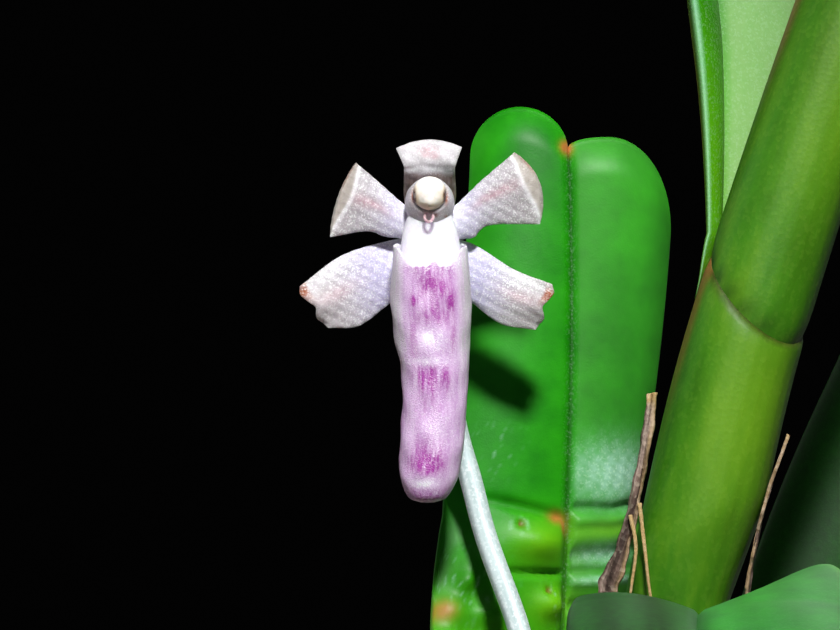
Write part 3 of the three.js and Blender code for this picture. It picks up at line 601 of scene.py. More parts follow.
# %% Sheath finish
sheath_skin = tissue(
    "orchid_sheath_veined",
    tones=[(0.3, "#265C04"), (0.5, "#34700A"), (0.7, "#4C7E10")],
    # On sheaths the warm layer carries a painted highlight and the dark layer painted shade.
    layers={"warm": "#6E9A18", "dark": "#1C3406", "dry": "#8F7A62", "scar": "#7A4628"},
    patch=2.2, cell=0.2, glint="#9CBF4A", grain_size=0.4, rise=0.006, ragged=0.5,
    Roughness=0.5, IOR=1.45, Specular_IOR_Level=0.3, scatter=(0.08, 0.0006, (0.6, 1.0, 0.2)),
)

# %% Sheath shapes
SHEATHS = [  # name, from, to, side, dryness
    ("sheath_1", 66, 82, LEFT_SIDE, 1.0),
    ("sheath_2", 75.5, 92, RIGHT_SIDE, 0.9),
    ("sheath_3", 85.5, 101, LEFT_SIDE, 0.35),
    ("sheath_4", 94.5, 110, RIGHT_SIDE, 0.15),
    ("sheath_5", 103.5, 119, LEFT_SIDE, 0.0),
    ("dry_sheath_collar", 112.5, 122, RIGHT_SIDE, 0.95),
    ("sheath_7", 121, 141, LEFT_SIDE, 0.0),
    ("sheath_8", 134.5, 160, RIGHT_SIDE, 0.0),
    ("sheath_9", 153.5, 174, LEFT_SIDE, 0.0),
    ("sheath_10", 168, 187, RIGHT_SIDE, 0.0),
]
NARROW, FLARE, SLANT = 2.2, 0.85, 2.4  # radius at the foot, what it grows by, and the mouth's rise


def sheath(name, low, high, side, dry, rows=32, sides=96):
    """Outer rings up, then inner rings down. The mouth rises by SLANT times the cosine of the angle from
    the side where the blade grew. The wall thins to 0.1 mm there and draws in by 0.18 mm, onto the sheath
    above, so that no rim shows. Painted shade darkens the mouth, the line where the mouth of the sheath below
    lies, and both edges as the viewer sees them, and paint also darkens the upper stem. lit is a painted
    highlight, a warm streak on the side towards the viewer."""
    turn = around(sides)
    t = np.linspace(0, 1, rows)[:, None]
    tilt = SLANT * np.cos(turn - np.radians(side))
    level = low + (high - low) * t + tilt * t**3
    centre = stem_axis(level)
    above = level - low + tilt - SLANT
    flare = NARROW + FLARE * held(above / 5) - 0.18 * ramp(t, 0.96, 1)
    wall = 0.27 - 0.17 * ramp(t, 0.7, 0.95)
    ribs = 0.008 * np.sin(turn * 26) * ramp(t, 0.05, 0.3)
    ring = lambda radius: centre + oval(radius, radius, 0 * level, turn)
    rings = np.concatenate([ring(flare + ribs), ring(flare - wall)[::-1]])
    outer = np.concatenate([1 + 0 * level, 0 * level])
    lip = np.concatenate([ramp(t, 0.96, 1) + 0 * turn, 1 + 0 * level])
    # Painted shadow on the line where the mouth of the sheath below lies against this one.
    crease = np.concatenate([hump(above, 4.2, 0.5), 0 * level]) if low > 130 else 0 * outer
    high_up = outer * ramp(np.concatenate([level, level]), 146, 158)
    from_left = np.cos(turn - np.pi) * outer
    share = np.concatenate([t, 0 * t])
    # lit is a painted highlight; edges paint shade on both sides and lip paints shade at the mouth, while
    # high_up only darkens the upper stem.
    lit = outer * hump(share, 0.75, 0.35) * hump(np.cos(turn - np.radians(-65)), 1, 0.35)
    edges = 0.6 * ramp(-from_left, 0.6, 1) + 0.45 * ramp(from_left, 0.8, 1)
    shaded = edges + lip + 0.6 * crease + 0.35 * high_up
    # Reddish at the mouth and along the left edge near the top.
    reddish = 0.1 * lip + 0.7 * ramp(from_left, 0.88, 1) * ramp(share, 0.6, 0.9)
    grain = oval(2.9, 2.9, level * 0.3, turn)
    green = 1 - dry
    paint = dict(
        dry=dry,
        warm=0.55 * green * lit,
        dark=green * held(shaded),
        scar=green * held(reddish),
        glint=0.04 * green,
    )
    slot = "dry_sheath" if dry > 0.8 else "green_sheath"
    grain = np.concatenate([grain, grain[::-1]])
    skin(name + "_tube", rings, sheath_skin, slot, name, "loop", grain, **paint)


for values in SHEATHS:
    sheath(*values)

# %% Stem and side shoot, green and lightly ringed
rod("stem_core", stem_axis(np.linspace(64, 187, 200)), 1.72 + 0.03 * np.sin(np.linspace(0, 60, 200)), 24,
    0.1, sheath_skin, "green_sheath", "stem", glint=0.0)
path = through([(14, 13, 64), (15, 14.5, 80), (17.5, 17, 96)], 90)
rod("side_shoot_core", path, 2.22 + 0.06 * ramp(np.sin(np.linspace(0, 28, 90)), 0.6, 1), 40,
    0.1, sheath_skin, "green_sheath", "side_shoot", dry=0.9 * ramp(np.linspace(1, 0, 90)[:, None], 0.25, 0.7),
    glint=0.0)

# %% [markdown]
# ## Dry strips and fibres
# A dropped leaf left two ragged strips of its sheath beside the stem, brown and papery, and two loose
# fibres of its veins. The strips are sheets between two margins whose edges are frayed by sums of waves.

# %% Dry finish
dry_skin = tissue(
    "dry_sheath_papery",
    tones=[(0.35, "#35261F"), (0.5, "#69544A"), (0.65, "#A39084")],
    layers={"tan": "#A88C5C", "dark": "#2A1A16"},
    patch=0.5, cell=0.25, glint="#CFC0AA", grain_size=0.12, rise=0.05,
    Roughness=0.8, IOR=1.4,
)


# %% Strips and fibres
def between(upper, lower, rows, columns):
    """A grid between two margins, each a curve through its points. v runs along them and u from upper to
    lower."""
    a, b = through(upper, rows)[:, None], through(lower, rows)[:, None]
    u = np.linspace(0, 1, columns)[None, :, None]
    return a * (1 - u) + b * u, u[..., 0] + np.zeros((rows, 1)), np.linspace(0, 1, rows)[:, None]


FRAY = (19, 0.16), (43, 0.12), (97, 0.08)  # a margin's waves: radians along it, and share of the width


def strip(name, far, near, knot, seed):
    """Frayed papery strip: each margin moves in and out by three waves, the middle is crumpled, and the
    strip narrows from about 1.4 times its width at its foot to half of it at its tip. A dark vein runs up
    it, and the tip is tan beyond the knot."""
    rows, columns = 160, 20
    grid, u, v = between(far, near, rows, columns)
    phase = np.random.default_rng(seed).uniform(0, 2 * np.pi, 8)
    waves = lambda k: sum(deep * np.sin(v * often + phase[k + i]) for i, (often, deep) in enumerate(FRAY))
    middle = grid.mean(axis=1, keepdims=True)
    spread = np.where(u < 0.5, 0.95 + waves(0), 0.95 + waves(3)) * (1.5 - ramp(v, 0.05, 0.75))
    grid = middle + (grid - middle) * spread[..., None]
    grid[..., 1] += 0.10 * np.sin(u * 9 + v * 7 + phase[6]) + 0.12 * np.sin(v * 31 + u * 3 + phase[7])
    grain = np.stack([u * 1.6, 0 * u, 1.5 * v + 0 * u], -1)
    tan = held(1.2 * ramp(v, knot, 1) + 0.5 * hump(u, 0.9, 0.15))
    vein = 0.7 * hump(u, 0.5 + 0.1 * np.sin(9 * v), 0.09) * ramp(v, 0.05, 0.2)
    rings = sheet(grid, np.full(u.shape, 0.16))
    skin(name + "_paper", rings, dry_skin, "dry_sheath", name, "strip", both(grain),
         tan=both(tan), dark=both(vein), glint=0.2)


strip("dry_strip_left", [(8.3, 1.5, 120), (8.85, 0.3, 126), (10.35, 0.1, 131), (11.2, 0.4, 136)],
      [(8.7, -1, 119.8), (10, -0.5, 126), (11.3, -0.3, 131), (12.1, 0.1, 136.2)], 0.95, 3)
strip("dry_strip_right", [(16.2, 0.6, 122.8), (16.6, 0.7, 127), (17.5, 0.9, 131), (18.5, 1.3, 134)],
      [(16.0, -0.6, 122.8), (16.4, -0.5, 127), (17.3, -0.3, 131), (18.5, 0.7, 134)], 0.97, 5)
FIBRES = {
    "dry_fibre_left": [(10.5, -0.4, 130), (10.75, -1, 128.4), (10.5, -1.3, 126.4), (10.2, -1.5, 124.2)],
    "dry_fibre_right": [(10.95, -0.55, 130.6), (11.2, -1.3, 128.2), (11.45, -1.8, 126), (12, -2.1, 123.2)],
}
for name, points in FIBRES.items():
    rod(name + "_thread", through(points, 60), np.linspace(0.11, 0.05, 60), 12,
        0.2, dry_skin, "dry_sheath", name, tan=1.0, dark=0.0, glint=0.1)

# %% [markdown]
# ## Tepals
# The two petals and three sepals are thin, nearly colourless tissue of swollen clear cells, which sparkle
# like sugar. They are bluish lilac near the middle of the flower, beige pink at their tips, and rust brown
# where a tip has begun to wither. Each is a sheet between two margins, with a fold that turns its tip back.
# The sparkle is painted as glinting cells. Painted highlights lie along some folds and margins, and painted
# shade under the dorsal sepal's flap.

# %% Tepal finish
tepal_skin = tissue(
    "orchid_tepal_clear_cells",
    tones=[(0.35, "#A9A3AB"), (0.65, "#C4BEC8")],
    # The shaded grey-brown layer is partly painted shade, and the white layer also carries painted
    # highlights.
    layers={"lilac": "#BCB6E0", "beige": "#A8A098", "pink": "#B8848E", "smoke": "#7C685C", "white": "#FCFAFF",
            "rust": "#96502E"},
    patch=0.7, cell=0.06, glint="#FFFFFF", grain_size=0.12, rise=0.016,
    Roughness=0.35, IOR=1.4, scatter=(0.3, 0.001, (1.0, 0.8, 1.0)),
)
FLOWER = np.array([0.5, 0.0, 143.75])  # the flower's middle
THIN, ARCH = 0.26, 0.3  # a tepal's thickness, and how far it is arched


# %% Tepal shapes
def tepal(name, upper, lower, bulge, shape, paint, rows=110, columns=56):
    """A sheet between two margins in the flower's own millimetres. The tip swells outwards by bulge *
    4u(1-u)v^3, the sheet is arched by ARCH * 4u(1-u) towards the viewer, half as much at the tip, and shape
    adds its own bend. paint gives the values for both faces."""
    grid, u, v = between(upper, lower, rows, columns)
    u = (1 - np.cos(np.pi * u)) / 2
    grid = grid[:, :1] * (1 - u[..., None]) + grid[:, -1:] * u[..., None]
    ends = unit(grid[-1, [0, -1]] - grid[-3, [0, -1]]).sum(axis=0)
    middle = 4 * u * (1 - u)
    grid = grid + unit(ends) * (bulge * middle * v**3)[..., None]
    grid = grid + shape(u, v)
    grid[..., 1] -= ARCH * middle * (1 - 0.5 * v)
    x, z = grid[..., 0], grid[..., 2]
    margin = np.sqrt(np.clip(1 - (2 * u - 1) ** 6, 0.02, 1)) * np.sqrt(1 - 0.97 * ramp(v, 0.95, 1))
    dimples = 0.02 * np.sin(9 * x + 4 * z) * np.sin(8 * z - 3 * x)
    front = paint(u, v, x, z)
    rings = sheet(grid + FLOWER, THIN * margin, dimples)
    width = np.linalg.norm(grid[:, -1] - grid[:, 0], axis=-1)[:, None]
    grain = np.stack([u * width, 0 * u, 0.9 * v + 0 * u], -1)
    values = {key: both(held(value) + 0 * u) for key, value in front.items()}
    skin(name + "_tissue", rings, tepal_skin, "tepal", name, "strip", both(grain), **values)


def vector(u, x=0.0, y=0.0, z=0.0):
    """Three arrays or numbers as one array of vectors, spread over the grid of u."""
    return np.stack([x + 0 * u, y + 0 * u, z + 0 * u], -1)


# %% Petals
PETAL_LENGTH = 3.6


def past(u, v, crease):
    """How far v is past a petal's crease, as a share of its length. The crease lies crease mm inside the
    tip near mid width and runs out at the lower margin."""
    return v - 1 + crease / PETAL_LENGTH * np.sin(np.pi * (0.15 + 0.85 * u))


def petal_shape(outward, crease):
    """Beyond the crease the tip turns back by 0.9 mm a mm."""
    def bend(u, v):
        beyond = held(past(u, v, crease)) * PETAL_LENGTH
        ruffle = 0.10 * np.sin(7 * u + 2) * v**2
        return vector(u, x=-outward * 0.12 * beyond, y=0.9 * beyond + ruffle)
    return bend


def petal_paint(crease, streak):
    """Lilac and white near the middle of the flower, painted sparkle, a painted highlight along the crease, a
    pink streak, and beige past the crease.
    """
    def paint(u, v, x, z):
        strip = ramp(past(u, v, crease), 0.0, 0.02)
        return dict(
            lilac=0.6 * (1 - ramp(v, 0.1, 0.6)),
            # painted highlight: a bright line along the crease
            white=0.45 * (1 - ramp(v, 0.0, 0.35)) + 0.4 * hump(past(u, v, crease), 0, 0.02),
            beige=0.9 * strip + 0.35 * ramp(v, 0.5, 0.9),
            pink=0.55 * hump(u, streak, 0.10) * hump(v, 0.6, 0.25) * (1 - strip),
            rust=0.55 * hump(v, 0.99, 0.02) * hump(u, 0.2, 0.15),
            glint=(0.5 - 0.2 * hump(u, streak, 0.2)) * (1 - strip) + 0.03,
        )
    return paint


tepal("petal_left", [(-0.8, 0.6, 1.5), (-1.5, 0.7, 1.95), (-2.5, 0.7, 2.85), (-3.75, 0.4, 3.9)],
      [(-0.8, 0.6, -0.1), (-1.55, 0.7, 0.1), (-2.3, 0.7, 0.2), (-3.2, 0.6, 0.45), (-5, 0.3, 0.15)], 0.35,
      petal_shape(-1, 0.62), petal_paint(0.62, 0.45))
tepal("petal_right", [(0.8, 0.6, 1.4), (1.5, 0.7, 1.95), (2.6, 0.6, 3), (4.25, 0.2, 4.4)],
      [(0.8, 0.6, -0.1), (1.55, 0.7, 0.05), (2.2, 0.7, 0.15), (3, 0.6, 0.75), (5.5, 0.2, 0.8)], 0.75,
      petal_shape(1, 0.5), petal_paint(0.5, 0.4))


# %% Lateral sepals
def sepal_shape(outward):
    """The tip's margin waves in and out by 0.12 mm, and rolls a little towards the viewer."""
    def bend(u, v):
        wave = 0.16 * hump(u, 0.16, 0.12) - 0.2 * hump(u, 0.5, 0.12) + 0.10 * hump(u, 0.75, 0.1)
        roll = 0.22 * ramp(v, 0.86, 1) * hump(u, 0.15, 0.3) - 0.12 * np.sin(9 * u) * v**3
        return vector(u, x=outward * wave * v**6, y=-roll, z=-0.3 * wave * v**6)
    return bend


def sepal_paint(tip):
    """Lilac near the middle of the flower, painted sparkle and a painted highlight along the upper margin,
    and a brown patch on the tip.
    """
    def paint(u, v, x, z):
        return dict(
            lilac=0.9 * (1 - ramp(v, 0.15, 0.75)),
            # painted highlight and painted sparkle along the upper margin
            white=0.5 * (1 - ramp(v, 0.0, 0.4)) + 0.3 * hump(u, 0.12, 0.1) * ramp(v, 0.4, 0.7),
            beige=0.4 * ramp(v, 0.55, 0.95),
            pink=0.35 * hump(u, 0.45, 0.1) * hump(v, 0.75, 0.2),
            rust=1.1 * ramp(v, 0.925, 0.965) * hump(u, tip, 0.17),
            glint=0.5 * (1 - 0.6 * ramp(v, 0.6, 0.95)) + 0.4 * hump(u, 0.1, 0.1) * ramp(v, 0.4, 0.7),
        )
    return paint


tepal("lateral_sepal_left", [(-0.9, 2, 0.1), (-2.2, 1.55, -0.05), (-4.5, 1.1, -0.8), (-6.5, 0.6, -2.3)],
      [(-0.9, 2, -2.2), (-2.2, 1.6, -3.3), (-3.6, 1.2, -4.3), (-5.1, 0.7, -4.4)], 0.15,
      sepal_shape(-1), sepal_paint(0.15))
tepal("lateral_sepal_right", [(0.9, 2, 0.1), (2.2, 1.55, -0.2), (4.2, 1.1, -1.45), (6.1, 0.6, -2.2)],
      [(0.9, 2, -2.2), (2.2, 1.6, -3.2), (3.6, 1.2, -4.2), (5.3, 0.7, -4.5)], 0.15,
      sepal_shape(1), sepal_paint(0.25))


# %% Dorsal sepal
def dorsal_shape(u, v):
    """The flap's top is arched up, and its lower edge is a rounded roll."""
    flap = ramp(v, 0.68, 0.8)
    return vector(u, y=0.12 * flap * np.sin(5 * u), z=0.12 * flap * np.sin(np.pi * u))


def dorsal_paint(u, v, x, z):
    """Grey brown below the flap, deepened by painted shade from its overhang, a painted highlight on the
    rolled edge under its pinkish face, and a little painted light on that face.
    """
    flap = ramp(z, 3.35, 3.6)
    return dict(
        # Painted shade on the grey-brown stalk under the flap, a painted highlight on its rolled edge, and
        # painted light on the flap.
        smoke=0.85 * (1 - flap),
        white=0.55 * hump(z, 3.55 + 0.06 * np.sin(13 * u), 0.16) + 0.2 * flap,
        pink=flap * spots(x, z, [(-0.05, 4.45, 0.45, 0.2, 0.9), (0.25, 4.15, 0.2, 0.12, 0.8),
                                 (-0.2, 4.2, 0.2, 0.1, 0.6)]),
        beige=0.3 * flap,
        glint=0.55 * hump(z, 3.55, 0.2) + 0.25 * flap,
    )


tepal("dorsal_sepal",
      [(-1.05, 1.95, 0.9), (-1.3, 1.6, 2.2), (-1.3, 0.6, 3.45), (-1.35, 0.3, 3.8), (-1.7, 0.5, 4.6)],
      [(1.05, 1.95, 0.9), (1.3, 1.6, 2.2), (1.25, 0.6, 3.45), (1.3, 0.3, 3.8), (1.6, 0.5, 4.65)], 0.3,
      dorsal_shape, dorsal_paint)

# %% [markdown]
# ## Lip and spur
# The lip is one hollow piece. Its mouth has a raised lobe on each side and a small crimped one in front,
# and its floor runs down into a long blunt spur. Purple lies in the tissue as patches and fine upright
# streaks. The outside is a stack of ovals read from a table of stations, and the inside is the same stack,
# 0.28 mm in.

# %% Spur finish
spur_skin = tissue(
    "orchid_spur_streaked",
    tones=[(0.35, "#C4A0CC"), (0.65, "#DCC4E2")],
    layers={"clear": "#C2BEC4", "purple": "#9C3E98", "rose": "#A868A8", "white": "#F6F0FF"},
    patch=0.35, cell=0.06, glint="#FFFFFF", grain_size=0.13, rise=0.02, ragged=3.2,
    Roughness=0.28, IOR=1.4, scatter=(0.25, 0.0006, (1.0, 0.7, 1.0)),
)

# %% Spur shape
STATIONS = np.array([  # z, x, y, half width, half depth
    (-13.05, -0.12, -1.60, 0.35, 0.30), (-12.8, -0.12, -1.55, 0.95, 0.85), (-11.9, -0.06, -1.45, 1.42, 1.22),
    (-11.0, 0.02, -1.36, 1.54, 1.30), (-10, 0.10, -1.25, 1.60, 1.33), (-8.6, 0.20, -1.08, 1.60, 1.30),
    (-7.5, 0.24, -0.95, 1.63, 1.33), (-6.4, 0.24, -0.84, 1.70, 1.38), (-5, 0.12, -0.70, 1.88, 1.45),
    (-3, 0.05, -0.55, 2.02, 1.50), (-1.4, 0, -0.45, 1.85, 1.45)])
LEVELS, SIDES, WALL = 230, 128, 0.28  # rings, points in a ring, and thickness
turn = around(SIDES)
station = through(STATIONS[:, [1, 2, 0, 3, 4]], LEVELS)
cx, cy, cz, a, b = (station[:, k : k + 1] for k in range(5))
front = ramp(-np.sin(turn), 0.3, 1.0)
crimp = 0.30 * hump(turn, 1.5 * np.pi + 0.10, 0.09) + 0.08 * np.abs(np.sin(turn * 17)) * front
rise = 1.05 * ramp(np.abs(np.cos(turn)), 0.5, 0.97) + 0.52 * np.maximum(0, np.sin(turn)) + crimp
share = np.linspace(0, 1, LEVELS)[:, None]
lobe = rise * ramp(share, 0.86, 1.0)
knobs = 0.035 * np.sin(3.1 * cz + 2 * np.cos(turn)) * np.sin(2.3 * turn * 2) * ramp(share, 0.02, 0.1)
wall = WALL * np.clip(1.15 - ramp(share, 0.9, 1.0), 0.4, 1)
layer = lambda out: np.stack([cx + (a + out) * np.cos(turn), cy + (b + out) * np.sin(turn), cz + lobe], -1)
outside, inside = layer(knobs), layer(-wall)[:30:-2]  # the hollow ends 30 levels above the tip
rings = np.concatenate([outside, inside])
print("spur:", round(float(rings[..., 2].max() - rings[..., 2].min()), 2), "mm long with its side lobes")

# %% Spur paint
x, z = rings[..., 0], rings[..., 2]
outer = np.concatenate([np.ones(LEVELS), np.zeros(len(inside))])[:, None] + 0 * x
facing = outer * ramp(-np.sin(turn), 0.0, 0.5)
purple = spots(x, z, [
    (0.2, -2.4, 1.0, 0.75, 0.6), (0.22, -2.1, 0.6, 0.45, 0.4), (1.0, -3.05, 0.25, 0.5, 0.9),
    (-0.85, -3.05, 0.2, 0.25, 0.8), (0.3, -3.8, 0.9, 0.5, 0.5), (-0.8, -4.9, 0.2, 0.9, 0.6),
    (1.15, -4.8, 0.2, 0.8, 0.5), (0.1, -6.9, 1.0, 0.75, 0.4), (-0.45, -6.9, 0.13, 0.6, 0.9),
    (0.1, -7.0, 0.13, 0.6, 0.9), (0.8, -6.9, 0.14, 0.5, 0.8),
    (-0.1, -10.8, 0.95, 0.9, 0.7), (-0.1, -11.2, 0.8, 0.45, 0.7), (0.0, -8.8, 1.3, 1.4, 0.3),
    (0.1, -5.0, 1.3, 2.6, 0.22)])
# Painted highlights: white and glints where the flash would shine on the spur's front, its middle and its
# tip; the rim gets painted glints too.
shine = spots(x, z, [(0.1, -5.0, 0.8, 0.6, 0.45), (-0.1, -4.8, 0.3, 0.2, 0.3), (-0.05, -6.05, 0.9, 0.2, 0.45),
                     (-0.25, -12.1, 0.6, 0.22, 0.9), (0.2, -9.3, 0.8, 0.7, 0.2)])
knob = outer * ramp(-np.sin(turn), 0.6, 0.95) * hump(z, -1.5, 0.35)
rim = np.concatenate([ramp(share, 0.94, 1.0), np.ones((len(inside), 1))]) + 0 * x
skin(
    "lip_and_spur_tissue", rings + FLOWER, spur_skin, "spur", "lip_and_spur",
    grain=np.concatenate([straight(outside, 0.12), straight(inside, 0.12)]),
    purple=held(purple * facing + 0.35 * knob),
    rose=held(outer * (0.8 * (1 - ramp(z, -12.9, -11.6)) + 0.5 * (1 - ramp(z, -8, -5)) * (1 - facing))),
    clear=held(outer * 0.9 * ramp(np.abs(np.cos(turn)), 0.6, 0.9) * ramp(z, -7.5, -4.5)),
    white=held(shine * facing + 0.9 * (1 - outer) + 0.3 * rim - 0.5 * knob),
    glint=held(0.15 + 0.7 * shine * facing + 0.3 * rim * facing),
)

# %% [markdown]
# ## Column and anther cap
# The column is a short clear hood that holds the cream cap of the anther in its front. Below the cap is a
# tiny hooked tongue, and below that the column's foot goes down into the lip as a bright white wall. The
# hood is an egg with a faint brim round the cap's pocket. It is as clear as the tepals, while the foot is
# dense and white.

# %% Column finish: dense white flesh that light goes into, so it glows instead of shining
column_skin = tissue(
    "orchid_column_white",
    tones=[(0.35, "#E2DEE8"), (0.65, "#F2EEF8")],
    layers={"lilac": "#DCD6FA", "beige": "#E2D2CC", "pink": "#C88490", "rust": "#A0603A"},
    patch=0.5, cell=0.06, glint="#FFFFFF", grain_size=0.12, rise=0.006,
    Roughness=0.35, IOR=1.4, scatter=(0.7, 0.0015, (1.0, 0.8, 1.0)),
)

# %% Column, foot and tongue
rings = ball((-0.02, -0.2, 1.85), (1.24, 1.30, 1.32), 90, 120)
x, y, z = (rings[..., k] for k in range(3))
reach = np.hypot(x + 0.02, z - 2.3)
ahead = ramp(-y, 0.2, 0.9)
rings[..., 1] -= ahead * (0.08 * hump(reach, 0.98, 0.16) - 0.15 * hump(reach, 0, 0.55))
rings[..., 0] *= 1 - 0.10 * ramp(z, 2.4, 3.2)
brown_edges = [(-0.84, 2.15, 0.10, 0.35, 1.1), (0.80, 2.10, 0.10, 0.35, 1.1), (0.30, 1.22, 0.10, 0.08, 0.8),
               (0.80, 1.15, 0.09, 0.08, 0.8)]
skin(
    "column_hood", rings + FLOWER, tepal_skin, "tepal", "column",
    # The lower hood is painted whiter, as painted light where the cap shades it.
    white=0.1 + 0.6 * ramp(-z, -1.5, -0.6),
    beige=0.1,
    rust=held(ahead * spots(x, z, brown_edges)),
    pink=held(0.35 * ahead * spots(x, z, [(-0.1, 1.2, 0.9, 0.3, 1.0)])),
    glint=0.3,
)
path = through([(0, -0.35, 1.55, 0.95, 0.60), (0, -0.35, 0.7, 1.28, 0.72), (0.02, -0.40, -0.4, 1.50, 0.80),
                (0.03, -0.5, -1.5, 1.54, 0.82), (0.03, -0.4, -2.6, 1.3, 0.6)], 80)
spokes = oval(path[:, 3:4], path[:, 4:5], 0, around(80))
skin("column_foot", path[:, None, :3] + spokes + FLOWER, column_skin, "tepal", lilac=0.15, glint=0.2)
path = through([(-0.24, -1.30, 1.32), (-0.25, -1.52, 1.02), (-0.05, -1.62, 0.88), (0.14, -1.52, 1.02),
                (0.12, -1.3, 1.3)], 40)
skin("column_tongue", tube(path + FLOWER, 0.075, 14), column_skin, "tepal", pink=0.9, beige=0.4, glint=0.1)

# %% Anther cap: cream, firm and faintly glossy, with two brown edges
cap_skin = tissue(
    "anther_cap_firm",
    tones=[(0.3, "#EFE4D4"), (0.7, "#F8F2EC")],
    layers={"amber": "#E0B87A", "brown": "#4E200A"},
    patch=0.5, cell=0.2, glint="#FFFFFF", grain_size=0.2, rise=0.015,
    Roughness=0.35, IOR=1.45, scatter=(0.3, 0.0006, (1.0, 0.8, 0.6)),
)
rings = ball((-0.02, -1.35, 2.3), (0.84, 0.64, 0.84), 60, 90)
x, z = rings[..., 0], rings[..., 2]
rings[..., 1] -= 0.14 * hump(x, -0.02, 0.3) * hump(z, 1.75, 0.3)  # a blunt beak at its lower edge
side = np.abs(x + 0.02)
skin(
    "anther_cap_shell", rings + FLOWER, cap_skin, "anther_cap", "anther_cap",
    brown=held(ramp(side, 0.62, 0.76) * hump(z, 2.1, 0.40) * 1.5),
    amber=held(ramp(side, 0.45, 0.7) * hump(z, 2.0, 0.5) * 0.6 + 0.3 * hump(z, 1.6, 0.15)),
    glint=0.2,
)

# %% [markdown]
# ## Stalks and buds
# The flower's stalk is milky and faintly ribbed, and widens into the ovary behind the flower. It joins the
# short axis of the raceme, which carries three buds. A rib is a small cosine added to the tube's radius.

# %% Stalk finish
stalk_skin = tissue(
    "flower_stalk_milky",
    tones=[(0.35, "#A2B4B4"), (0.65, "#B8C8C8")],
    layers={"green": "#7FA860", "purple": "#A868B4", "white": "#D4E0E2"},
    patch=0.6, cell=0.12, glint="#FFFFFF", grain_size=0.15, rise=0.004,
    Roughness=0.35, IOR=1.4, scatter=(0.2, 0.0008, (0.9, 1.0, 1.0)),
)

# %% Raceme axis and pedicel
def on_axis(share):
    """The raceme axis's point at a share of its length."""
    return axis[int(share * (len(axis) - 1))]


axis = through([(8.9, -3.9, 107.6), (8.3, -5.2, 109.6), (7.5, -6, 112.5), (6.6, -5, 117.5),
                (4.2, -4.4, 120.6), (0.8, -4.6, 121.6)], 120)
rod("raceme_axis_stalk", axis, np.linspace(0.75, 0.45, 120), 32, 0.15, stalk_skin, "pedicel", "raceme_axis",
    green=0.7, purple=0.15, glint=0.1)
route = np.array([(0, 2.45, 0.1), (0.2, 3.2, -2.2), (0.7, 3.3, -6), (1.4, 2.8, -9.7), (2.05, 2.2, -12),
                  (2.85, 1.1, -15), (4.3, -0.8, -19), (5.2, -2.5, -22.2)]) + FLOWER
joint = on_axis(0.62) + (0.55, 0.55, 0.95)
path = through([*route.tolist(), joint.tolist()], 200)
share = np.linspace(0, 1, 200)[:, None]
turns = around(48)
radius = 0.64 - 0.09 * np.sin(held(share * 3) * np.pi / 2) + 0.012 * np.cos(6 * turns)
rod("flower_pedicel_stalk", path, radius, 48, 0.12, stalk_skin, "pedicel", "flower_pedicel",
    white=0.15 + 0.2 * np.cos(6 * turns), green=0.5 * ramp(share, 0.85, 1), glint=0.25)

# %% Buds
BUDS = [(0.74, 1.0, (2.2, -8.6, 122.4), 1.25),  # place on the axis, its gap from it, tip, size
        (0.88, 0.95, (0.2, -1.2, 121.6), 1.1),
        (1, 0.4, (-3, -5.6, 121.9), 0.95)]
for i, (t, clear, tip, size) in enumerate(BUDS):
    start = on_axis(t)
    reach = unit(np.array(tip) - start)
    along = np.linspace(0, 1, 70)[:, None]
    path = start + reach * clear + along * (np.array(tip) + 2.4 * size * reach - start - reach * clear)
    swell = 0.32 + size * held(np.sin(np.pi * held((along - 0.35) / 0.68))) ** 0.8
    swell = swell * np.sqrt(1 - 0.9 * ramp(along, 0.93, 1.0))
    swell = swell * (1 + 0.05 * np.cos(3 * turns) * ramp(along, 0.5, 0.8))
    rod(f"bud_{i + 1}_tissue", path, swell, 48, 0.15, stalk_skin, "spur", f"bud_{i + 1}",
        purple=0.5 * ramp(along, 0.5, 0.9), green=0.35 * (1 - ramp(along, 0.3, 0.6)), glint=0.3)

# %% [markdown]
# ## Roots
# The roots are covered in velamen, a dead spongy layer that is silver grey when dry and shows green where
# it is damp or worn. It wrinkles lengthwise as it dries. The tube's radius carries these wrinkles and a
# slow unevenness.

# %% Root finish and shapes
root_skin = tissue(
    "root_velamen_spongy",
    tones=[(0.35, "#9C9A8C"), (0.65, "#C6C4B8")],
    layers={"green": "#6E8A52", "brown": "#6E5A42"},
    patch=2.5, cell=0.3, glint="#E2E0D6", grain_size=0.25, rise=0.06,
    Roughness=0.85, IOR=1.4,
)
ROOTS = {
    "root_over_rim": [(8.9, -4.2, 85), (17, -13, 88.5), (26, -24, 88), (32, -30, 85.6), (35.4, -34, 84.6),
                      (37, -35.8, 80), (36.6, -36.2, 71)],
    "root_front": [(4.2, -4.6, 80), (-4, -13, 82), (-10, -20, 76), (-12, -24, 66)],
    "root_left": [(1.2, 0.4, 79), (-8, 6, 80), (-16, 9, 74), (-20, 10, 64)],
    "root_back": [(5.5, 3.6, 78), (4, 14, 79), (0, 22, 73), (-2, 27, 63)],
    "root_aerial": [(5.6, -3.4, 96), (-2, -12, 96), (-12, -16, 88), (-20, -18, 76), (-23, -19, 66)],
}
for name, points in ROOTS.items():
    path = through(points, 160)
    share = np.linspace(0, 1, 160)[:, None]
    turns = around(36)
    wrinkle = 0.02 * np.sin(9 * turns + 3 * share) + 0.03 * np.sin(31 * share + 2 * np.sin(turns))
    radius = 1.08 * (1 - 0.25 * share) + wrinkle - 0.02
    radius = radius * np.sqrt(1 - 0.8 * ramp(share, 0.985, 1))
    rod(name + "_velamen", path, radius, 36, 0.25, root_skin, "root_velamen", name,
        green=0.8 * ramp(share, 0.80, 0.97) + 0.15, brown=0.5 * (1 - ramp(share, 0.0, 0.08)), glint=0.1)

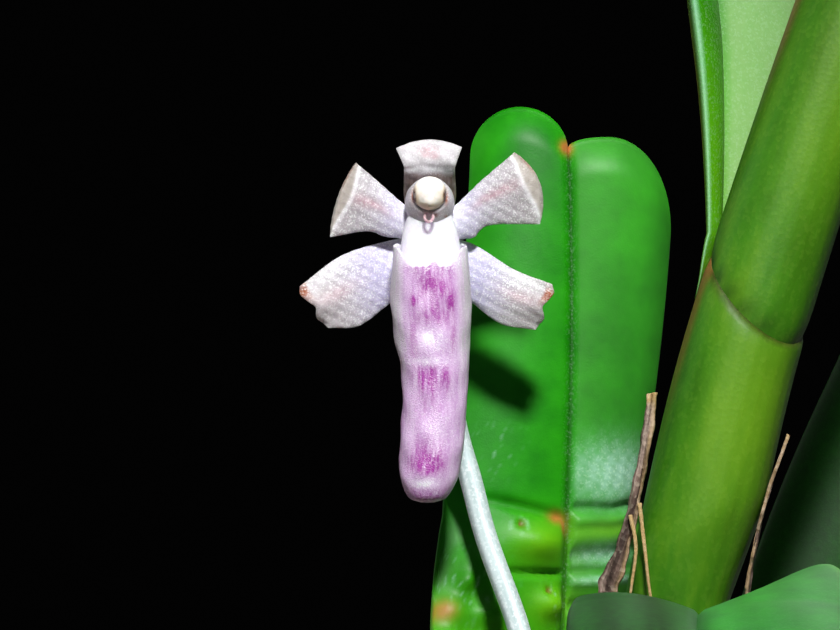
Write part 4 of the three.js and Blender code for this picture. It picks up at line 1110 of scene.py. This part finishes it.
# %% [markdown]
# ## Bark
# The pot holds chips of pine bark, flaky and red brown. The bed below them is one dark bumpy body, and some
# two hundred low chips lie in its top. All chips are worked out at once from one rounded block: scaled,
# dented, turned and moved by arrays of random numbers with a fixed seed.

# %% Bark finish
bark_skin, tree, shader = finish("pine_bark_flaky", Roughness=0.88)
place = add(tree, "TexCoord").outputs["Object"]
flake = noise(tree, place, 320.0, 6.0, Roughness=0.65, Distortion=0.6)
chip_tone = add(tree, "Attribute", attribute_name="tone").outputs["Fac"]
mixed = add(tree, "Math", {0: flake, 1: chip_tone}, operation="ADD")
colours = [(0.30, "#24150E"), (0.75, "#8E5A38"), (0.5, "#4E2E1E"), (0.64, "#6E4028")]
colour = add(tree, "ValToRGB", {"Fac": mixed.outputs[0]}, stops=colours)
tree.links.new(colour.outputs["Color"], shader.inputs["Base Color"])
roughen(tree, shader, flake, noise(tree, place, 1400.0, 4.0), 0.8, 0.0006)
for name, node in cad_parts.items():
    if name.startswith("bark_chip"):
        node.data.materials.clear()
        node.data.materials.append(bark_skin)


# %% Bark bed
def inner(z):
    """The pot's inner radius at height z: 26.5 mm at the bottom, and 15 mm more over 84 mm."""
    return 26.5 + 15 * z / 84


turns = around(120)
top_r = np.linspace(0.2, inner(71) - 0.3, 60)[:, None]
chance = np.random.default_rng(11)
waves = chance.normal(0, 0.9, (14, 2))
phases = chance.uniform(0, 2 * np.pi, 14)
px, py = top_r * np.cos(turns), top_r * np.sin(turns)
rough = sum(np.cos(w[0] * px + w[1] * py + p) for w, p in zip(waves, phases)) * 0.22
top = np.stack([px, py, 71.6 + 1.2 * (1 - (top_r / 39) ** 2) + rough * held((39 - top_r) / 6)], -1)
side_z = np.linspace(70.5, 6.4, 14)[:, None]
side_r = inner(side_z) - 0.35
side = oval(side_r, side_r, side_z, turns)
base_r = np.linspace(inner(6.3) - 2, 0.2, 8)[:, None]
base = oval(base_r, base_r, 6.35, turns)
skin("bark_bed_mound", np.concatenate([top, side, base]), bark_skin, "pine_bark", "bark_bed", tone=-0.12)

# %% Bark chips in the bed
COUNT, POINTS = 210, 48  # chips, and points of one chip
GOLDEN_ANGLE = 2.39996
block = ball((0, 0, 0), (1, 1, 1), 6, 8)
block = np.sign(block) * np.abs(block) ** 0.55  # squares the ball off into a block with round edges
HALVES = (3.2, 6.2), (2.0, 3.8), (1.0, 1.8)  # least and most half length, half width and half thickness
size = np.stack([chance.uniform(least, most, COUNT) for least, most in HALVES], 1)
chips = block.reshape(1, -1, 3) * (1 + chance.uniform(-0.16, 0.16, (COUNT, POINTS, 3))) * size[:, None]
spin = chance.uniform(0, 2 * np.pi, COUNT)
tip_x, tip_y = (chance.normal(0, 0.3, COUNT)[:, None] for _ in "xy")
cs, sn = np.cos(spin)[:, None], np.sin(spin)[:, None]
cx, cy, cz = chips[..., 0], chips[..., 1], chips[..., 2]
lifted = cz + cx * tip_x + cy * tip_y
chips = np.stack([cx * cs - cy * sn, cx * sn + cy * cs, lifted], -1)
spread = 34.2 * np.sqrt((np.arange(COUNT) + 0.5) / COUNT)
golden = np.arange(COUNT) * GOLDEN_ANGLE
chips = chips + oval(spread, spread, 72.6 - 0.8 * (spread / 34) ** 2, golden)[:, None]
reach = np.hypot(chips[..., 0], chips[..., 1])
limit = inner(chips[..., 2]) - 0.6
chips[..., :2] *= np.minimum(1, limit / reach)[..., None]
chips[..., 2] = np.minimum(chips[..., 2], 77.5)
index = np.arange(POINTS).reshape(6, 8)
ahead = np.roll(index, -1, axis=1)
quads = np.stack([index[:-1], ahead[:-1], ahead[1:], index[1:]], -1).reshape(-1, 4)
caps = np.stack([index[0], index[-1]])
first = POINTS * np.arange(COUNT)[:, None, None]
faces = (quads + first).reshape(-1, 4).tolist() + (caps + first).reshape(-1, 8).tolist()
mesh = bpy.data.meshes.new("bark_litter")
mesh.from_pydata((chips.reshape(-1, 3) * MM).tolist(), [], faces)
tones = np.repeat(chance.uniform(-0.12, 0.14, COUNT), POINTS).astype(np.float32)
mesh.attributes.new("tone", "FLOAT", "POINT").data.foreach_set("value", tones)
litter = settle("bark_litter", mesh, bark_skin)
litter.data.polygons.foreach_set("use_smooth", [False] * len(litter.data.polygons))
print("bark chips:", COUNT, "with", len(faces), "faces")

# %% [markdown]
# ## Clay pot
# The pot is plain terracotta: red clay thrown or pressed, fired without glaze, matt and a little rough,
# with paler lime where water has dried. Its profile is drawn as straight lines and then smoothed over 1 mm,
# which rounds every edge as a wet sponge does. Three holes are drilled through its floor with boolean cuts.

# %% Pot finish
clay_skin, tree, shader = finish("terracotta_unglazed", Roughness=0.85)
place = add(tree, "TexCoord").outputs["Object"]
cloud = noise(tree, place, 45.0, 5.0, Roughness=0.6)
clay = add(tree, "ValToRGB", {"Fac": cloud}, stops=[(0.3, "#A8553A"), (0.7, "#C0704E")])
bloom = noise(tree, place, 28.0, 8.0, Roughness=0.7, Distortion=0.4)
limy = add(tree, "ValToRGB", {"Fac": bloom}, stops=[(0.52, 0.0), (0.72, 0.55)])
colour = mix(tree, limy.outputs["Color"], clay.outputs["Color"], "#D8B8A0")
tree.links.new(colour, shader.inputs["Base Color"])
squash = add(tree, "Mapping", {"Vector": place, "Scale": (0.02, 0.02, 1)})  # turning lines round the pot
lines = noise(tree, squash.outputs[0], 700.0)
roughen(tree, shader, noise(tree, place, 1500.0), lines, 0.5, 0.00025)

# %% Pot shape
PROFILE = np.array([(0.2, 0), (30.2, 0), (31.1, 1), (43.1, 67.4), (45.6, 68.6), (48.4, 83.2), (47.6, 84),
                    (42.2, 84), (41.4, 83), (27.6, 6), (0.2, 6)], float)
steps = walked(PROFILE)
STEP = 0.2
fine = np.arange(0, steps[-1], STEP)
r, h = (np.interp(fine, steps, PROFILE[:, k]) for k in range(2))
kernel = np.ones(5) / 5  # the mean over 1 mm
r, h = (np.convolve(np.pad(w, 2, "edge"), kernel, "valid") for w in (r, h))
# every point near a corner is kept, and every fourteenth elsewhere
corners = [np.abs(fine - s).argmin() + np.arange(-5, 6) for s in steps[1:-1]]
keep = np.unique(np.concatenate([np.arange(0, len(fine), 14), *corners, [len(fine) - 1]]))
r, h = r[keep, None], h[keep, None]
pot = skin("pot_body", oval(r, r, h, around(144)), clay_skin, "terracotta", "pot")
HOLE_REACH, HOLE_RADIUS, HOLE_HEIGHT = 0.017, 0.0045, 0.003  # from the pot's middle, in metres
for angle in np.radians((60, 180, 300)):
    spot = (HOLE_REACH * np.cos(angle), HOLE_REACH * np.sin(angle), HOLE_HEIGHT)
    bpy.ops.mesh.primitive_cylinder_add(vertices=48, radius=HOLE_RADIUS, depth=0.02, location=spot)
    drill = bpy.context.object
    cut = pot.modifiers.new("drain", "BOOLEAN")
    cut.object = drill
    cut.operation = "DIFFERENCE"
    bpy.context.view_layer.objects.active = pot
    bpy.ops.object.modifier_apply(modifier=cut.name)
    bpy.data.objects.remove(drill)
pot.data.set_sharp_from_angle(angle=np.radians(50))
print("pot:", len(pot.data.vertices), "points,", round(float(r.max()) * 2, 1), "mm across its rim")
